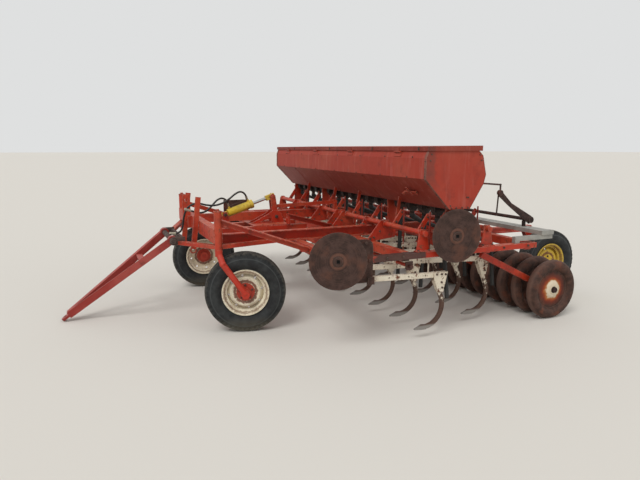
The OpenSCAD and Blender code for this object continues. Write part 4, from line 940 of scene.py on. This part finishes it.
class DRILL_OT_fastenings(bpy.types.Operator):
    """Bolts, nuts, collars and pins of the frame, shafts and wheels"""
    bl_idname = "drill.fastenings"
    bl_label = "Fastenings"

    def execute(self, context):
        size = context.scene.drill_finish.bolt_size
        rust = bpy.data.materials["rusted_plate_steel"]
        red = bpy.data.materials["tractor_red_enamel_on_steel"]

        bolts = Heap()
        for x in SHAFTS.values():
            for y, z in STAND_FEET:
                for dx in (-0.052, 0.052):
                    for dy in (-0.018, 0.018):
                        bolts.bolt(at(x + dx, y + dy, z), (0, 0, 1), size * 0.85)
        for side in (1, -1):
            for x, z in END_PLATE_BOLTS:
                bolts.bolt(at(x, side * END_PLATE_FACE, z), (0, side, 0), size)
            for x in SIDE_BEAM_BOLTS:
                bolts.bolt(at(x, side * (HALF_FRAME + 0.0001), BEAM_LEVEL), (0, side, 0), size * 0.9)
            # Carriers on the back beam, the long beams, and under the hopper's ends
            for z in (0.712, BEAM_LEVEL):
                for dy in (-0.048, 0.048):
                    bolts.bolt(at(BACK_FACE, side * (CARRIER_SIDE + dy), z), (-1, 0, 0), size)
            for x in (1.14, 1.02):
                bolts.bolt(at(x, side * 0.170, 0.8263), (0, 0, 1), size)
            for x in (-0.10, 0.04):
                bolts.bolt(at(x, side * (HALF_FRAME - 0.001), 1.085), (0, side, 0), size * 0.8)
        for x, z in SHIELD_PLATE_BOLTS:
            bolts.bolt(at(x, SHIELD_PLATE_FACE, z), (0, 1, 0), size)
        for y in HANGER_SIDES:
            for x, z in HANGER_BOLTS:
                bolts.bolt(at(x, y + 0.0061, z), (0, 1, 0), size * 0.8)
        bolts.finish("frame_bolts", rust, "frame")

        # A ring of small bolts on each caster post's cap
        cap = Heap()
        for side in (1, -1):
            for k in range(6):
                ahead = CAP_AHEAD + CAP_CIRCLE * math.cos(math.pi * k / 3)
                y = side * CAP_SIDE + CAP_CIRCLE * math.sin(math.pi * k / 3)
                cap.bolt(at(ahead, y, CAP_HEIGHT), (0, 0, 1), 0.007)
        cap.finish("post_cap_bolts", rust, "frame")

        # Collars with set bolts on the rock shafts, each side of a bearing
        for end, x in SHAFTS.items():
            collars = Heap()
            for y in [bearing + offset for bearing in BEARINGS[end] for offset in (-0.024, 0.024)]:
                if abs(y) < SHAFT_END:
                    collars.rod(at(x, y - 0.009, SHAFT_HEIGHT), at(x, y + 0.009, SHAFT_HEIGHT), 0.033, 20)
                    collars.bolt(at(x + 0.024, y, SHAFT_HEIGHT + 0.023), (0.7, 0, 0.7), 0.010)
            body = end + "_shaft"
            soften(collars.finish("shaft_collars_" + body, red, body), 0.0015)

        # Clamp bolts through the foot of each lever, and its pin
        for end, x in SHAFTS.items():
            clamps = Heap()
            for row in ROWS[end]:
                y = row + (-0.058 if row > 0 else 0.058)
                for reach, head in ((0.046, 0.016), (0.150, 0.013)):
                    ahead, above = -reach * math.sin(LEVER_TILT), reach * math.cos(LEVER_TILT)
                    for w in (-1, 1):
                        clamps.bolt(at(x + ahead, y + w * 0.0071, SHAFT_HEIGHT + above), (0, w, 0), head)
            body = end + "_shaft"
            clamps.finish("lever_bolts_" + body, rust, body)

        for end, (x, z) in BRACKETS.items():
            fixings = Heap()
            for row in ROWS[end]:
                for dx, dz in BRACKET_BOLTS:
                    for w in (-1, 1):
                        fixings.bolt(at(x + dx, row + w * 0.0214, z + dz), (0, w, 0), 0.015)
            body = end + "_rank"
            fixings.finish("opener_bolts_" + body, rust, body)

        # Wheel nuts, and a valve stem on each rim
        for side, mirror in (("left", 1), ("right", -1)):
            for end in ("front", "back"):
                basis = axle_place(end + "_wheel_spin_" + side)
                outwards = basis.to_3x3() @ Vector((0, mirror, 0))
                nuts = Heap()
                for k in range(5):
                    a = 2 * math.pi * k / 5 + 0.3
                    ahead, above = NUT_CIRCLE * math.cos(a), NUT_CIRCLE * math.sin(a)
                    nuts.bolt(basis @ Vector((ahead, mirror * HUB_FACE, above)), outwards, 0.017)
                stem = [basis @ Vector((r * math.cos(VALVE_ANGLE), mirror * y, r * math.sin(VALVE_ANGLE)))
                        for r, y in ((0.174, 0.024), (0.166, 0.050))]
                nuts.rod(*stem, 0.004, 10)
                body = end + "_wheel_" + side
                nuts.finish("wheel_nuts_" + body, rust, body)

        # Rivets round the hubs of the shield discs
        for body in ("front_disc", "rear_disc"):
            basis = axle_place(body + "_spin")
            ring = Heap()
            for k in range(4):
                a = math.pi / 4 + math.pi / 2 * k
                p = basis @ Vector((0.046 * math.cos(a), 0.004, 0.046 * math.sin(a)))
                ring.bolt(p, basis.to_3x3() @ Vector((0, 1, 0)), 0.009)
            ring.finish("hub_rivets_" + body, rust, body)

        # Pin heads of the lift
        for body, joint, reach in (("lift_rocker", "lift", 0.061), ("frame", "barrel_pin", 0.038)):
            heads = Heap()
            for w in (-1, 1):
                heads.bolt(PINS[joint] + Vector((0, w * reach, 0)), (0, w, 0), 0.028)
            heads.finish("pin_heads_" + joint, rust, body)

        # The pressure pipe along the top of the barrel
        way = (ROD_EYE - BARREL_PIN).normalized()
        out = Vector((way.z, 0, -way.x))
        base = BARREL_PIN + Vector((0, 0.012, 0))
        line = curve_through([base + way * along + out * off for along, off in PIPE_ROUTE], 6)
        verts, faces = swept(line, [0.008] * len(line), 12)
        mesh_object("barrel_pipe", verts, faces, rust, "barrel", True)
        return {"FINISHED"}


# Panel

class DRILL_PT_panel(bpy.types.Panel):
    """The drill's pieces and the values that they take"""
    bl_idname = "DRILL_PT_panel"
    bl_label = "Hoe press drill"
    bl_space_type = "VIEW_3D"
    bl_region_type = "UI"
    bl_category = "Drill"

    def draw(self, context):
        for group in (context.scene.drill_finish, context.scene.drill_view):
            for key in group.__annotations__:
                self.layout.prop(group, key)
        for step in STEPS:
            self.layout.operator(step.bl_idname)


GROUPS = (DrillFinish, DrillView)
STEPS = (DRILL_OT_stage, DRILL_OT_hoses, DRILL_OT_finishes, DRILL_OT_seed_tubes, DRILL_OT_hopper_trim,
         DRILL_OT_tread, DRILL_OT_fastenings)


def register():
    for c in GROUPS + STEPS + (DRILL_PT_panel,):
        bpy.utils.register_class(c)
    bpy.types.Scene.drill_finish = bpy.props.PointerProperty(type=DrillFinish)
    bpy.types.Scene.drill_view = bpy.props.PointerProperty(type=DrillView)


def unregister():
    del bpy.types.Scene.drill_view
    del bpy.types.Scene.drill_finish
    for c in reversed(GROUPS + STEPS + (DRILL_PT_panel,)):
        bpy.utils.unregister_class(c)


def main():
    register()
    for step in STEPS:
        group, name = step.bl_idname.split(".")
        getattr(getattr(bpy.ops, group), name)()


if __name__ == "__main__":
    main()
